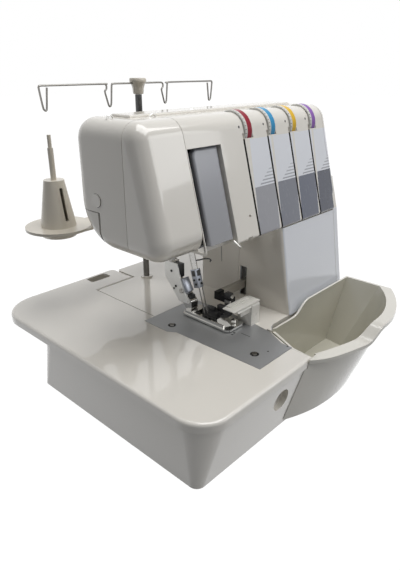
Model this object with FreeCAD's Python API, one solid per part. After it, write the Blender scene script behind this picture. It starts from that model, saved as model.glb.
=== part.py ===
import FreeCAD, Part
import math
import os

V = FreeCAD.Vector

# Overall sizes in mm. X runs left to right, Y front to back, Z up from the table surface.
BED_Z = 70.0
HEAD_TOP = 302.0
ARM_Z = 176.0
HEAD_X = 42.0
COLUMN_X = 228.0
RIGHT_X = 355.0
BACK_Y = 214.5
ARM_FRONT_Y = 86.5
HEAD_FRONT_TOP_Y = 121.3
COLUMN_SETBACK = 2.0
COLUMN_SLOPE = 0.17
STAND_Y = BACK_Y + 75.5
BASE_BACK_Y = STAND_Y + 50.0
WALL = 2.5
SEAM = 0.5
FIT = 0.05
GAP = 0.4

# Roundings of the head and column shells
END_R = 17.0
RIGHT_R = 12.0
TOP_R = 20.0
CHIN_R = 20.0
PANEL_R = 3.0
HEEL_R = 48.0
COLUMN_R = 4.0

# Seams between the covers
FACE_SEAM_X = 98.0
FACE_SEAM_Y = 137.0
END_SEAM_X = 58.0
TOP_SEAM_Y = 150.0
TOP_SEAM_Z = HEAD_TOP - 34.0
RIGHT_SEAM_X = RIGHT_X - RIGHT_R

# Extension table
TABLE_BACK_Y = BASE_BACK_Y + 10.0
TABLE_BOX_BACK_Y = BACK_Y + 47.5
TABLE_RIGHT_X = 167.6
TABLE_LIP = 9.5
TABLE_LIP_OUT = 2.5
TABLE_FRONT_DRAFT = 10.0
TABLE_CORNER_R = 32.0
TABLE_REAR_R = 45.0
TABLE_EDGE_R = 3.5
TABLE_TAIL_X = 180.0
TABLE_TAIL_Y = STAND_Y + 12.0
FINGER_HOLE_X = 119.0
FINGER_HOLE_Z = 39.0
FINGER_HOLE_R = 12.0

# Needle plate
PLATE_LEFT_X = 101.0
PLATE_STEP_X = 107.0
PLATE_RIGHT_X = 183.0
PLATE_FRONT_Y = 26.0
PLATE_BACK_Y = 188.0
PLATE_T = 2.5
BED_LEFT_X = 116.0

# Waste tray
TRAY_RIM_LOW = 70.0
TRAY_RIM_HIGH = 84.5
TRAY_RISE_X0 = 226.0
TRAY_RISE_X1 = 262.0
TRAY_BACK_Y = 66.0
TRAY_FLANGE = 13.0
TRAY_LIP = 4.5
TRAY_FLANGE_T = 4.0
TRAY_FLOOR_Z = 4.0

# Shafts
SHAFT_Y = 170.0
SHAFT_Z = 42.0
SHAFT_R = 6.0
UPPER_R = 5.0
BUSH_T = 3.0
CRANK_Z = 238.0
CRANK_R = 17.0
CRANK_THROW = 13.0
TIMING_R = 15.0
BELT_PULLEY_R = 28.0
MOTOR_Y = 125.0
MOTOR_Z = 112.0
MOTOR_R = 26.0
MOTOR_L = 50.0
MOTOR_PULLEY_R = 9.0
BELT_T = 2.0
HANDWHEEL_R = 36.0
HANDWHEEL_W = 20.0

# Needle bar, leaning back going up
NEEDLE_X = 148.0
NEEDLE_Y = 146.0
NEEDLE_Z = 117.0
NEEDLE_TILT = 16.0
NEEDLE_BAR_R = 3.5
NEEDLE_BAR_L = 160.0
NEEDLE_PITCH = 5.0
NEEDLE_R = 0.7
NEEDLE_L = 40.0
UPPER_Y = NEEDLE_Y + (CRANK_Z - NEEDLE_Z) * math.tan(math.radians(NEEDLE_TILT))

# Presser bar and foot
PRESSER_X = 154.0
PRESSER_Y = 194.0
PRESSER_R = 3.5
PRESSER_LIFT = 6.0
FOOT_X0 = 143.0
FOOT_X1 = 173.0
FOOT_Y0 = 95.0
FOOT_Y1 = 167.0
FOOT_T = 2.4
FOOT_Z = BED_Z + 0.9
LIFTER_Y = 184.0
LIFTER_Z = 186.0
LIFTER_R = 3.0
LIFTER_TURN = 40.0
LEVER_FRONT_Y = 180.0
LEVER_TOP_Z = 213.4
LEVER_W = 12.0
LEVER_GAP = 2.5

# Tension dials on the rounded top front edge
DIAL_X = 184.4
DIAL_PITCH = 41.8
DIAL_COUNT = 4
DIAL_R = 22.0
DIAL_W = 13.0
DIAL_OFFSET = 2.4
AXLE_R = 2.5
AXLE_END = 341.0
GROOVE_W = 3.0

# Take-up recess
RECESS_X0 = 99.5
RECESS_X1 = 147.0
RECESS_Z0 = 183.0
RECESS_Z1 = HEAD_TOP - 27.0

# Thread stand
POST_X = 194.0
POST_R = 4.3
POST_TOP = HEAD_TOP + 12.0
POST_FOOT = 44.0
ROD_R = 2.8
GUIDE_Z = HEAD_TOP + 25.0
GUIDE_OUTER = 131.0
GUIDE_INNER = 45.0
HOOK_DEPTH = 25.0
HOOK_W = 9.0
WIRE_R = 1.1
SPOOL_Z = 172.0
SPOOL_PIN_TOP = 277.0
SPOOL_PIN_R = 3.2
SPOOL_DISC_R = 38.0
CONE_BASE_R = 20.5
CONE_TOP_R = 11.5
CONE_H = 53.0

PLANES = {
    "x": lambda a, b, c: V(c, a, b),
    "y": lambda a, b, c: V(a, c, b),
    "z": lambda a, b, c: V(a, b, c),
}
NODES = {}


def box(x0, x1, y0, y1, z0, z1):
    return Part.makeBox(x1 - x0, y1 - y0, z1 - z0, V(x0, y0, z0))


def rod(radius, start, end):
    axis = V(*end) - V(*start)
    return Part.makeCylinder(radius, axis.Length, V(*start), axis)


def tube(outer, inner, start, end):
    return rod(outer, start, end).cut(rod(inner, start, end))


def rod_x(radius, x0, x1, y, z):
    return rod(radius, (x0, y, z), (x1, y, z))


def outline(points, axis, at):
    """Closed wire through (a, b, radius) corners, on the plane across the axis."""
    place = PLANES[axis]
    legs = []
    for i, corner in enumerate(points):
        p = V(corner[0], corner[1], 0)
        radius = corner[2] if len(corner) > 2 else 0
        if radius == 0:
            legs.append((p, None, p))
            continue
        before = points[i - 1]
        after = points[(i + 1) % len(points)]
        u = (V(before[0], before[1], 0) - p).normalize()
        w = (V(after[0], after[1], 0) - p).normalize()
        half = u.getAngle(w) / 2
        inward = (u + w).normalize()
        reach = radius / math.tan(half)
        middle = p + inward * (radius / math.sin(half) - radius)
        legs.append((p + u * reach, middle, p + w * reach))
    edges = []
    for i, (start, middle, end) in enumerate(legs):
        if middle is not None:
            arc = [place(q.x, q.y, at) for q in (start, middle, end)]
            edges.append(Part.Arc(*arc).toShape())
        following = legs[(i + 1) % len(legs)][0]
        if end.distanceToPoint(following) > 1e-6:
            edges.append(Part.makeLine(place(end.x, end.y, at), place(following.x, following.y, at)))
    return Part.Wire(edges)


def prism(points, axis, lo, hi):
    return Part.Face(outline(points, axis, lo)).extrude(PLANES[axis](0, 0, hi - lo))


def inset(points, depth):
    """The same corners moved inward by depth, with their roundings reduced to match."""
    area = 0
    for i, p in enumerate(points):
        q = points[(i + 1) % len(points)]
        area += p[0] * q[1] - q[0] * p[1]
    turn = 1 if area > 0 else -1
    moved = []
    for i, p in enumerate(points):
        a = V(*points[i - 1][:2], 0)
        b = V(*p[:2], 0)
        c = V(*points[(i + 1) % len(points)][:2], 0)
        u = (b - a).normalize()
        w = (c - b).normalize()
        n1 = V(-u.y, u.x, 0) * turn
        n2 = V(-w.y, w.x, 0) * turn
        shift = (n1 + n2) * (depth / (1 + n1.dot(n2)))
        convex = (u.x * w.y - u.y * w.x) * turn > 0
        radius = p[2] if len(p) > 2 else 0
        if radius:
            radius = max(radius - depth, 0.5) if convex else radius + depth
        moved.append((b.x + shift.x, b.y + shift.y, radius))
    return moved


def fuse(shapes):
    return shapes[0].multiFuse(shapes[1:]).removeSplitter()


def cut(shape, tools):
    for tool in tools:
        shape = shape.cut(tool)
    return shape


def group(shapes):
    return Part.makeCompound(shapes)


def edges_where(shape, test):
    return [e for e in shape.Edges if all(test(v.Point) for v in e.Vertexes)]


def front_y(z):
    """Front face of the head at a height."""
    return ARM_FRONT_Y + (z - ARM_Z) * (HEAD_FRONT_TOP_Y - ARM_FRONT_Y) / (HEAD_TOP - ARM_Z)


def column_front_y(z):
    return ARM_FRONT_Y + COLUMN_SETBACK + (z - ARM_Z) * COLUMN_SLOPE


# Head and column envelope
COLUMN_TOP = ARM_Z + 40.0


def head_block(depth, chin):
    profile = [
        (front_y(ARM_Z), ARM_Z, chin),
        (BACK_Y, ARM_Z, HEEL_R),
        (BACK_Y, HEAD_TOP, TOP_R + 1),
        (front_y(HEAD_TOP), HEAD_TOP, TOP_R),
    ]
    return prism(inset(profile, depth), "x", HEAD_X + depth, RIGHT_X - depth)


def head(depth):
    solid = head_block(depth, CHIN_R)
    left = edges_where(solid, lambda p: abs(p.x - HEAD_X - depth) < 1e-3)
    solid = solid.makeFillet(END_R - depth, left)
    right = edges_where(solid, lambda p: abs(p.x - RIGHT_X + depth) < 1e-3)
    return solid.makeFillet(RIGHT_R - depth, right)


def column(depth):
    foot = BED_Z - depth
    top = COLUMN_TOP - depth
    corners = [
        (column_front_y(foot) + depth, foot),
        (BACK_Y - depth, foot),
        (BACK_Y - depth, top),
        (front_y(top) + COLUMN_SETBACK + depth, top),
        (column_front_y(ARM_Z) + depth, ARM_Z),
    ]
    solid = prism(corners, "x", COLUMN_X + depth, RIGHT_X - depth)
    upright = [e for e in solid.Edges if abs(e.tangentAt(e.FirstParameter).z) > 0.9]
    return solid.makeFillet(COLUMN_R - depth, upright)


SHELL = head(0).fuse(column(0)).cut(head(WALL).fuse(column(WALL)))
PANEL_SHELL = head_block(0, PANEL_R).fuse(column(0)).cut(head_block(WALL, PANEL_R).fuse(column(WALL)))


def span(x0, x1, y0, y1, z0, z1):
    return SHELL.common(box(x0, x1, y0, y1, z0, z1))


FAR = 500.0

# Left end: face cover round the front corner, end cover behind it
face_cover = span(0, FACE_SEAM_X, 0, FACE_SEAM_Y, 0, FAR)
NODES["face_cover"] = face_cover

lever_notch = box(0, HEAD_X + LEVER_W + 1, LEVER_FRONT_Y - LEVER_GAP, FAR, 0, LEVER_TOP_Z + 0.8)
plug_y = 181.0
plug_z = 226.0
plug_r = 6.5
end_cover = span(0, END_SEAM_X, FACE_SEAM_Y + SEAM, FAR, 0, FAR)
end_cover = end_cover.cut(lever_notch).cut(rod_x(plug_r - 1.2, 0, END_SEAM_X, plug_y, plug_z))
NODES["end_cover"] = end_cover
plug_head = rod_x(plug_r, HEAD_X - 1.0, HEAD_X, plug_y, plug_z)
plug_stem = rod_x(plug_r - 1.2, HEAD_X, HEAD_X + 6, plug_y, plug_z)
NODES["end_cover_plug"] = plug_head.fuse(plug_stem)

# Top and rear covers
RIB_Y0 = 158.0
RIB_Y1 = 186.0
RIB_H = 2.4


def behind_front(z0, z1):
    """Shell behind the front panel, reaching further forward behind the face cover."""
    right = box(END_SEAM_X + SEAM, RIGHT_SEAM_X - SEAM, TOP_SEAM_Y + SEAM, FAR, z0, z1)
    left = box(END_SEAM_X + SEAM, FACE_SEAM_X, FACE_SEAM_Y + SEAM, FAR, z0, z1)
    return SHELL.common(right.fuse(left))


top_cover = behind_front(TOP_SEAM_Z, FAR)
rib = box(END_SEAM_X + 12, RIGHT_SEAM_X - 14, RIB_Y0, RIB_Y1, HEAD_TOP - 1, HEAD_TOP + RIB_H)
rib = rib.makeFillet(2.0, edges_where(rib, lambda p: p.z > HEAD_TOP + 1))
NODES["top_cover"] = top_cover.fuse(rib).removeSplitter()

bar_opening = box(116, 168, 152, 206, ARM_Z - 5, LIFTER_Z + 14)
rear_cover = behind_front(0, TOP_SEAM_Z - SEAM).cut(bar_opening)
vents = [box(250 + 8 * i, 253.5 + 8 * i, BACK_Y - 10, BACK_Y + 5, 95, 140) for i in range(8)]
rear_cover = cut(rear_cover, vents)
NODES["rear_cover"] = rear_cover.removeSplitter()

# Front panel with the dial slots, thread grooves and the take-up recess
CORNER_Z = HEAD_TOP - TOP_R
CORNER_Y = front_y(CORNER_Z) + TOP_R / math.cos(math.atan2(HEAD_FRONT_TOP_Y - ARM_FRONT_Y, HEAD_TOP - ARM_Z))
panel_zone = box(FACE_SEAM_X + SEAM, COLUMN_X - 1, 0, TOP_SEAM_Y, 0, FAR)
panel_zone = panel_zone.fuse(box(COLUMN_X - 1, RIGHT_SEAM_X - SEAM, 0, TOP_SEAM_Y, ARM_Z + 1, FAR))
front_panel = PANEL_SHELL.common(panel_zone)


def dial_x(i):
    return DIAL_X + DIAL_PITCH * i + DIAL_OFFSET


dial_slots = []
grooves = []
for i in range(DIAL_COUNT):
    slot = rod_x(DIAL_R + 0.8, dial_x(i) - 0.7, dial_x(i) + DIAL_W + 0.7, CORNER_Y, CORNER_Z)
    dial_slots.append(slot)
    x = DIAL_X + DIAL_PITCH * i
    low = ARM_Z - 1
    high = HEAD_TOP - TOP_R
    lane = [(front_y(low) - 1, low), (front_y(low) + 1.4, low), (front_y(high) + 1.4, high), (front_y(high) - 1, high)]
    grooves.append(prism(lane, "x", x - GROOVE_W / 2, x + GROOVE_W / 2))


def front_band(x0, x1, z0, z1, near, far):
    """Slab lying along the sloping front face, between two depths behind it."""
    lane = [
        (front_y(z0) + near, z0),
        (front_y(z0) + far, z0),
        (front_y(z1) + far, z1),
        (front_y(z1) + near, z1),
    ]
    return prism(lane, "x", x0, x1)


recess = front_band(RECESS_X0, RECESS_X1, ARM_Z - 5, RECESS_Z1, -5, 12)
front_panel = cut(front_panel, dial_slots + grooves + [recess])
panel_hole = rod(1.6, (173, 0, 200.6), (173, 150, 200.6))
panel_notch = box(164, 171, 60, 120, ARM_Z - 5, ARM_Z + 4)
front_panel = front_panel.cut(panel_hole).cut(panel_notch)
recess_back = front_band(RECESS_X0 - 0.5, RECESS_X1 + WALL, ARM_Z, RECESS_Z1 + WALL, 12, 12 + WALL)
recess_side = front_band(RECESS_X1, RECESS_X1 + WALL, ARM_Z + 0.2, RECESS_Z1, 1.5, 12 + WALL)
recess_roof = front_band(RECESS_X0, RECESS_X1 + WALL, RECESS_Z1, RECESS_Z1 + WALL, 1.5, 12 + WALL)
front_panel = fuse([front_panel, recess_back, recess_side, recess_roof])
NODES["front_panel"] = front_panel

# Smoke-grey cover over the take-up levers, hollow towards the front
cover = front_band(RECESS_X0 + 4, RECESS_X1 - 1.2, RECESS_Z0, RECESS_Z1 - 4, 2, 12)
dish_mid_z = (RECESS_Z0 + RECESS_Z1) / 2
dish_r = 260.0
slope = math.atan2(HEAD_FRONT_TOP_Y - ARM_FRONT_Y, HEAD_TOP - ARM_Z)
dish_y = front_y(dish_mid_z) - (dish_r - 7.5) * math.cos(slope)
dish_z = dish_mid_z + (dish_r - 7.5) * math.sin(slope)
NODES["take_up_cover"] = cover.cut(rod_x(dish_r, 0, FAR, dish_y, dish_z))

# Column cover with the knife slot in its throat wall, and the right end cover
SLOT_Y0 = 137.0
SLOT_Y1 = 147.0
SLOT_Z0 = 76.0
SLOT_Z1 = 115.0
column_zone = box(COLUMN_X - 1, RIGHT_SEAM_X - SEAM, 0, TOP_SEAM_Y, 0, ARM_Z - SEAM)
column_cover = PANEL_SHELL.common(column_zone)
knife_slot = box(COLUMN_X - 5, COLUMN_X + 6, SLOT_Y0, SLOT_Y1, SLOT_Z0, SLOT_Z1)
NODES["column_cover"] = column_cover.cut(knife_slot)
right_cover = span(RIGHT_SEAM_X, FAR, 0, FAR, 0, FAR)
STITCH_DIAL_Y = 110.0
STITCH_DIAL_Z = 118.0
DIFF_Y = 140.0
DIFF_Z = 118.0
KNOB_BORE = 4.2
for y, z in ((STITCH_DIAL_Y, STITCH_DIAL_Z), (DIFF_Y, DIFF_Z)):
    right_cover = right_cover.cut(rod_x(KNOB_BORE, RIGHT_SEAM_X - 1, FAR, y, z))
NODES["right_cover"] = right_cover

# Base: skirt, bed cover, bottom pan and feet
PAN_Z = 6.0
PAN_T = 2.5
BASE_PLAN = [
    (PLATE_LEFT_X + 1, PLATE_FRONT_Y + 1),
    (TABLE_RIGHT_X, PLATE_FRONT_Y + 1, 5),
    (PLATE_RIGHT_X + 3, BED_Z + 2, 20),
    (RIGHT_X - 1, BED_Z + 2, 10),
    (RIGHT_X - 1, BASE_BACK_Y, 10),
    (TABLE_TAIL_X + 1, BASE_BACK_Y, 4),
    (TABLE_TAIL_X + 1, TABLE_TAIL_Y - 1),
    (BED_LEFT_X + 1, TABLE_TAIL_Y - 1, 4),
    (BED_LEFT_X + 1, PLATE_BACK_Y),
    (PLATE_LEFT_X + 1, PLATE_BACK_Y),
]
DECK_Z = BED_Z - PLATE_T
skirt = prism(BASE_PLAN, "z", PAN_Z + PAN_T, DECK_Z).cut(prism(inset(BASE_PLAN, WALL), "z", PAN_Z, BED_Z))
SWITCH_Y = BACK_Y + 13.5
INLET_Y = BACK_Y + 43.5
PANEL_Z = 34.0
skirt = skirt.cut(rod_x(SHAFT_R + 2, RIGHT_X - 20, RIGHT_X + 5, SHAFT_Y, SHAFT_Z))
skirt = skirt.cut(box(RIGHT_X - 10, RIGHT_X + 5, SWITCH_Y - 5.3, SWITCH_Y + 5.3, PANEL_Z - 9.6, PANEL_Z + 9.6))
skirt = skirt.cut(box(RIGHT_X - 10, RIGHT_X + 5, INLET_Y - 8, INLET_Y + 8, PANEL_Z - 7, PANEL_Z + 7))
door_zone = box(TABLE_RIGHT_X + 8, RIGHT_X - 16, 0, BED_Z + 20, 0, BED_Z)
NODES["looper_cover"] = skirt.common(door_zone)
door_gap = box(TABLE_RIGHT_X + 8 - GAP, RIGHT_X - 16 + GAP, 0, BED_Z + 20, 0, BED_Z)
NODES["base_skirt"] = skirt.cut(door_gap)

PLATE_PLAN = [
    (PLATE_LEFT_X, 150.0, 3),
    (PLATE_LEFT_X, PLATE_BACK_Y, 2),
    (PLATE_RIGHT_X + 2, PLATE_BACK_Y, 2),
    (PLATE_RIGHT_X + 2, 100.0, 20),
    (PLATE_RIGHT_X - 4, 62.0, 20),
    (TABLE_RIGHT_X, 40.0, 6),
    (TABLE_RIGHT_X, PLATE_FRONT_Y, 1),
    (PLATE_STEP_X + 3, PLATE_FRONT_Y, 1.5),
    (PLATE_STEP_X, 140.0, 3),
]
deck = prism(BASE_PLAN, "z", DECK_Z, BED_Z)
deck = deck.cut(prism(inset(PLATE_PLAN, -GAP), "z", 0, BED_Z + 1))
deck_well = box(COLUMN_X + 6, RIGHT_X - 5, BED_Z + 12, BACK_Y - 6, 0, BED_Z + 1)
deck = deck.cut(deck_well).cut(box(0, PLATE_RIGHT_X, 0, BED_Z, 0, BED_Z + 1))
deck = max(deck.Solids, key=lambda solid: solid.Volume)
boss = rod(POST_R + 4, (POST_X, STAND_Y, POST_FOOT - 4), (POST_X, STAND_Y, BED_Z + 2))
post_socket = rod(POST_R, (POST_X, STAND_Y, POST_FOOT), (POST_X, STAND_Y, BED_Z + 5))
NODES["bed_cover"] = fuse([deck, boss]).cut(post_socket)

pan = prism(BASE_PLAN, "z", PAN_Z, PAN_Z + PAN_T)
pan_vents = [box(260 + 9 * i, 264 + 9 * i, 120, 160, 0, 20) for i in range(6)]
FOOT_SPOTS = [(120, 45), (132, BASE_BACK_Y - 54), (336, 92), (336, BASE_BACK_Y - 20)]
foot_bores = [rod(3.0, (x, y, 0), (x, y, 20)) for x, y in FOOT_SPOTS]
NODES["bottom_pan"] = cut(pan, pan_vents + foot_bores)
feet = []
for x, y in FOOT_SPOTS:
    pad = Part.makeCone(9.0, 8.0, PAN_Z, V(x, y, 0))
    feet.append(pad.fuse(rod(3.0, (x, y, PAN_Z), (x, y, PAN_Z + PAN_T))))
NODES["rubber_feet"] = group(feet)

# Needle plate with its slots and two screws
SLIT = 0.6
NEEDLE_HOLE_Y = NEEDLE_Y - (NEEDLE_Z - BED_Z) * math.tan(math.radians(NEEDLE_TILT))
FEED_LANES = [(146.0, 150.0), (158.0, 162.0)]
FEED_MAIN = (140.0, 166.0)
FEED_DIFF = (101.0, 122.0)
FEED_STROKE = 2.0
plate = prism(PLATE_PLAN, "z", DECK_Z, BED_Z)
needle_hole = prism(
    [
        (NEEDLE_X - 5, NEEDLE_HOLE_Y - 7, 2),
        (NEEDLE_X + 5, NEEDLE_HOLE_Y - 7, 2),
        (NEEDLE_X + 5, NEEDLE_HOLE_Y + 5, 2),
        (NEEDLE_X - 5, NEEDLE_HOLE_Y + 5, 2),
    ],
    "z", 0, 100,
)
feed_slots = []
for x0, x1 in FEED_LANES:
    for y0, y1 in (FEED_MAIN, FEED_DIFF):
        reach = FEED_STROKE + SLIT
        feed_slots.append(box(x0 - SLIT, x1 + SLIT, y0 - reach, y1 + reach, 0, 100))
PLATE_SCREWS = [(115.5, 156.7), (129.5, 47.4)]
SCREW_R = 4.0
screw_seats = [rod(SCREW_R, (x, y, DECK_Z), (x, y, BED_Z)) for x, y in PLATE_SCREWS]
looper_slot = box(173, 179, 96, 132, 0, 100)
NODES["needle_plate"] = cut(plate, [needle_hole, looper_slot] + feed_slots + screw_seats)

# Pivots of the loopers and the guide slot of the knife arm
LOOPER_Y = 118.0
LOWER_PIVOT = (200.0, 34.0)
UPPER_PIVOT = (206.0, 52.0)
LOOPER_PIN_R = 4.0
KNIFE_Y = (139.0, 145.0)

# Cast frame: bed plate, bearing walls, column webs and arm beam
WEB_L = (238.0, 246.0)
WEB_R = (340.0, 348.0)
BED_WALL = (124.0, 132.0)
ARM_PLATE_Z = (HEAD_TOP - 40.0, HEAD_TOP - 34.0)
GUIDE_WALL = (120.0, 126.0)
UPPER_LUG = (174.0, 182.0)
FRAME_FLOOR = PAN_Z + PAN_T
FRAME_T = 2.8
frame_blocks = [
    box(112, WEB_R[1], 92, 185, FRAME_FLOOR, FRAME_FLOOR + FRAME_T),
    box(122, WEB_R[1], 180, 262, FRAME_FLOOR, FRAME_FLOOR + FRAME_T),
    box(192, 214, 141, 150, FRAME_FLOOR, DECK_Z - 4),
    box(BED_WALL[0], BED_WALL[1], 92, 190, FRAME_FLOOR, DECK_Z),
    box(112, 182, 170, 185, DECK_Z - 6, DECK_Z),
    box(112, 137, 40, 100, DECK_Z - 6, DECK_Z),
    box(112, BED_WALL[1], 40, 48, FRAME_FLOOR, DECK_Z),
    box(WEB_L[0], WEB_L[1], 96, 204, FRAME_FLOOR, 150),
    box(WEB_L[0], WEB_L[1], 162, 204, FRAME_FLOOR, ARM_PLATE_Z[1]),
    box(WEB_R[0], WEB_R[1], 150, 204, FRAME_FLOOR, ARM_PLATE_Z[1]),
    box(GUIDE_WALL[0], WEB_R[1], 162, 205, ARM_PLATE_Z[0], ARM_PLATE_Z[1]),
    box(GUIDE_WALL[0], GUIDE_WALL[1], 150, 204, 190, ARM_PLATE_Z[1]),
    box(GUIDE_WALL[0], 165, 152, 176, 188, 194),
    box(NEEDLE_X, 165, 152, 203, 188, 194),
    rod_x(LIFTER_R + 3.5, GUIDE_WALL[0], GUIDE_WALL[1], LIFTER_Y, LIFTER_Z),
    box(GUIDE_WALL[0], 157.5, 189.6, 203, 232, 240),
    box(UPPER_LUG[0], UPPER_LUG[1], 166, 197, 222, ARM_PLATE_Z[1]),
]
bush_spots = []
for x0, x1 in (BED_WALL, WEB_L, WEB_R):
    bush_spots.append((x0 - 1, x1 + 1, SHAFT_Y, SHAFT_Z, SHAFT_R))
for x0, x1 in (UPPER_LUG, WEB_R):
    bush_spots.append((x0 - 1, x1 + 1, UPPER_Y, CRANK_Z, UPPER_R))
frame_bores = [rod_x(r + BUSH_T, x0, x1, y, z) for x0, x1, y, z, r in bush_spots]
frame_bores.append(rod_x(UPPER_R + 3, WEB_L[0] - 1, WEB_L[1] + 1, UPPER_Y, CRANK_Z))
for x, z in (LOWER_PIVOT, UPPER_PIVOT):
    frame_bores.append(rod(LOOPER_PIN_R + FIT, (x, 140, z), (x, 151, z)))
frame_bores.append(rod_x(LIFTER_R + FIT, GUIDE_WALL[0] - 1, GUIDE_WALL[1] + 1, LIFTER_Y, LIFTER_Z))
frame_bores.append(box(138, 148.2, 172.5, 210, 170, LIFTER_Z + 30))
frame_bores.append(rod(PRESSER_R + FIT, (PRESSER_X, PRESSER_Y, 100), (PRESSER_X, PRESSER_Y, HEAD_TOP - 12)))
frame_bores.append(box(WEB_L[0] - 1, WEB_L[1] + 1, KNIFE_Y[0] - GAP, KNIFE_Y[1] + GAP, SLOT_Z0, SLOT_Z1))


def tilted(shape):
    """Carry a shape made about the needle bar's own axis into place."""
    shape = shape.copy()
    shape.rotate(V(0, 0, 0), V(1, 0, 0), -NEEDLE_TILT)
    shape.translate(V(NEEDLE_X, NEEDLE_Y, NEEDLE_Z))
    return shape


frame_bores.append(tilted(rod(NEEDLE_BAR_R + FIT, (0, 0, -20), (0, 0, NEEDLE_BAR_L + 40))))
for x in (DIAL_X - 7, DIAL_X + DIAL_PITCH * 2 - 7, AXLE_END - 10):
    frame_blocks.append(box(x, x + 3, CORNER_Y - 6, 170, ARM_PLATE_Z[0], CORNER_Z + 8))
frame_bores.append(rod_x(AXLE_R, DIAL_X - 8, AXLE_END + 1, CORNER_Y, CORNER_Z))
NODES["cast_frame"] = cut(fuse(frame_blocks), frame_bores)
bushes = [tube(r + BUSH_T, r + FIT, (x0, y, z), (x1, y, z)) for x0, x1, y, z, r in bush_spots]
NODES["shaft_bushes"] = group(bushes)

# Main shaft with its cams, handwheel and pulleys
TIMING_X = (300.0, 310.0)
BELT_X = (316.0, 326.0)
SHAFT_END = RIGHT_X + 17.0
main_shaft = fuse([
    rod_x(SHAFT_R, 116, SHAFT_END, SHAFT_Y, SHAFT_Z),
    rod_x(11, 140, 148, SHAFT_Y, SHAFT_Z + 3),
    rod_x(11, 164, 172, SHAFT_Y + 3, SHAFT_Z),
    rod_x(10, 200, 206, SHAFT_Y, SHAFT_Z - 2),
])
NODES["main_shaft"] = main_shaft


def pulley(x0, x1, y, z, radius, bore):
    body = rod_x(radius, x0, x1, y, z)
    if radius > bore + 12:
        web = tube(radius - 3, bore + 4, (x0 - 1, y, z), (x0 + 3, y, z))
        body = body.cut(web)
    return body.cut(rod_x(bore, x0 - 2, x1 + 2, y, z))


NODES["shaft_pulleys"] = group([
    pulley(TIMING_X[0], TIMING_X[1], SHAFT_Y, SHAFT_Z, TIMING_R, SHAFT_R),
    pulley(BELT_X[0], BELT_X[1], SHAFT_Y, SHAFT_Z, BELT_PULLEY_R, SHAFT_R),
])
WHEEL_X0 = RIGHT_X + 2.0
WHEEL_X1 = WHEEL_X0 + HANDWHEEL_W
wheel_section = [
    (WHEEL_X0, SHAFT_R),
    (WHEEL_X0, HANDWHEEL_R - 1.5, 1),
    (WHEEL_X0 + 5, HANDWHEEL_R, 2),
    (WHEEL_X1 - 3, HANDWHEEL_R, 3),
    (WHEEL_X1, HANDWHEEL_R - 6, 3),
    (WHEEL_X1 - 6, HANDWHEEL_R - 9, 3),
    (WHEEL_X1 - 6, 14, 3),
    (WHEEL_X1 - 1, 12, 1),
    (WHEEL_X1 - 1, SHAFT_R),
]
handwheel = Part.Face(outline(wheel_section, "z", 0)).revolve(V(0, 0, 0), V(1, 0, 0), 360)
handwheel.translate(V(0, SHAFT_Y, SHAFT_Z))
NODES["handwheel"] = handwheel

# Upper shaft, crank disc and timing belt
lean = math.radians(NEEDLE_TILT)
pin_y = UPPER_Y + CRANK_THROW * math.sin(lean)
pin_z = CRANK_Z + CRANK_THROW * math.cos(lean)
NODES["upper_shaft"] = fuse([
    rod_x(UPPER_R, 162, WEB_R[1] + 3, UPPER_Y, CRANK_Z),
    rod_x(CRANK_R, 164, 171, UPPER_Y, CRANK_Z),
    rod_x(3.0, 158.2, 164, pin_y, pin_z),
    rod_x(TIMING_R, TIMING_X[0], TIMING_X[1], UPPER_Y, CRANK_Z),
])


def belt(c0, r0, c1, r1, x0, x1):
    """Belt loop round two pulleys whose axes run along X."""
    dy = c1[0] - c0[0]
    dz = c1[1] - c0[1]
    reach = math.hypot(dy, dz)
    along = math.atan2(dz, dy)
    swing = math.acos((r0 - r1) / reach)

    def loop(extra):
        def at(c, r, angle):
            return V(x0, c[0] + (r + extra) * math.cos(angle), c[1] + (r + extra) * math.sin(angle))
        a0 = at(c0, r0, along + swing)
        a1 = at(c0, r0, along + math.pi)
        a2 = at(c0, r0, along - swing)
        b0 = at(c1, r1, along - swing)
        b1 = at(c1, r1, along)
        b2 = at(c1, r1, along + swing)
        edges = [
            Part.Arc(a0, a1, a2).toShape(),
            Part.makeLine(a2, b0),
            Part.Arc(b0, b1, b2).toShape(),
            Part.makeLine(b2, a0),
        ]
        return Part.Face(Part.Wire(edges)).extrude(V(x1 - x0, 0, 0))

    return loop(GAP + BELT_T).cut(loop(GAP))


NODES["timing_belt"] = belt(
    (SHAFT_Y, SHAFT_Z), TIMING_R, (UPPER_Y, CRANK_Z), TIMING_R, TIMING_X[0] + 1, TIMING_X[1] - 1)
NODES["motor_belt"] = belt(
    (SHAFT_Y, SHAFT_Z), BELT_PULLEY_R, (MOTOR_Y, MOTOR_Z), MOTOR_PULLEY_R, BELT_X[0] + 1, BELT_X[1] - 1)

# Motor on the left column web
motor_end = WEB_L[1] + MOTOR_L
can = rod_x(MOTOR_R, WEB_L[1], motor_end, MOTOR_Y, MOTOR_Z)
can = can.fuse(rod_x(10, motor_end, motor_end + 4, MOTOR_Y, MOTOR_Z))
NODES["motor"] = can.cut(rod_x(3 + FIT, motor_end - 20, motor_end + 10, MOTOR_Y, MOTOR_Z))
rotor = rod_x(3, motor_end - 20, BELT_X[1] + 2, MOTOR_Y, MOTOR_Z)
NODES["motor_pulley"] = rotor.fuse(rod_x(MOTOR_PULLEY_R, BELT_X[0], BELT_X[1], MOTOR_Y, MOTOR_Z))

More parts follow.
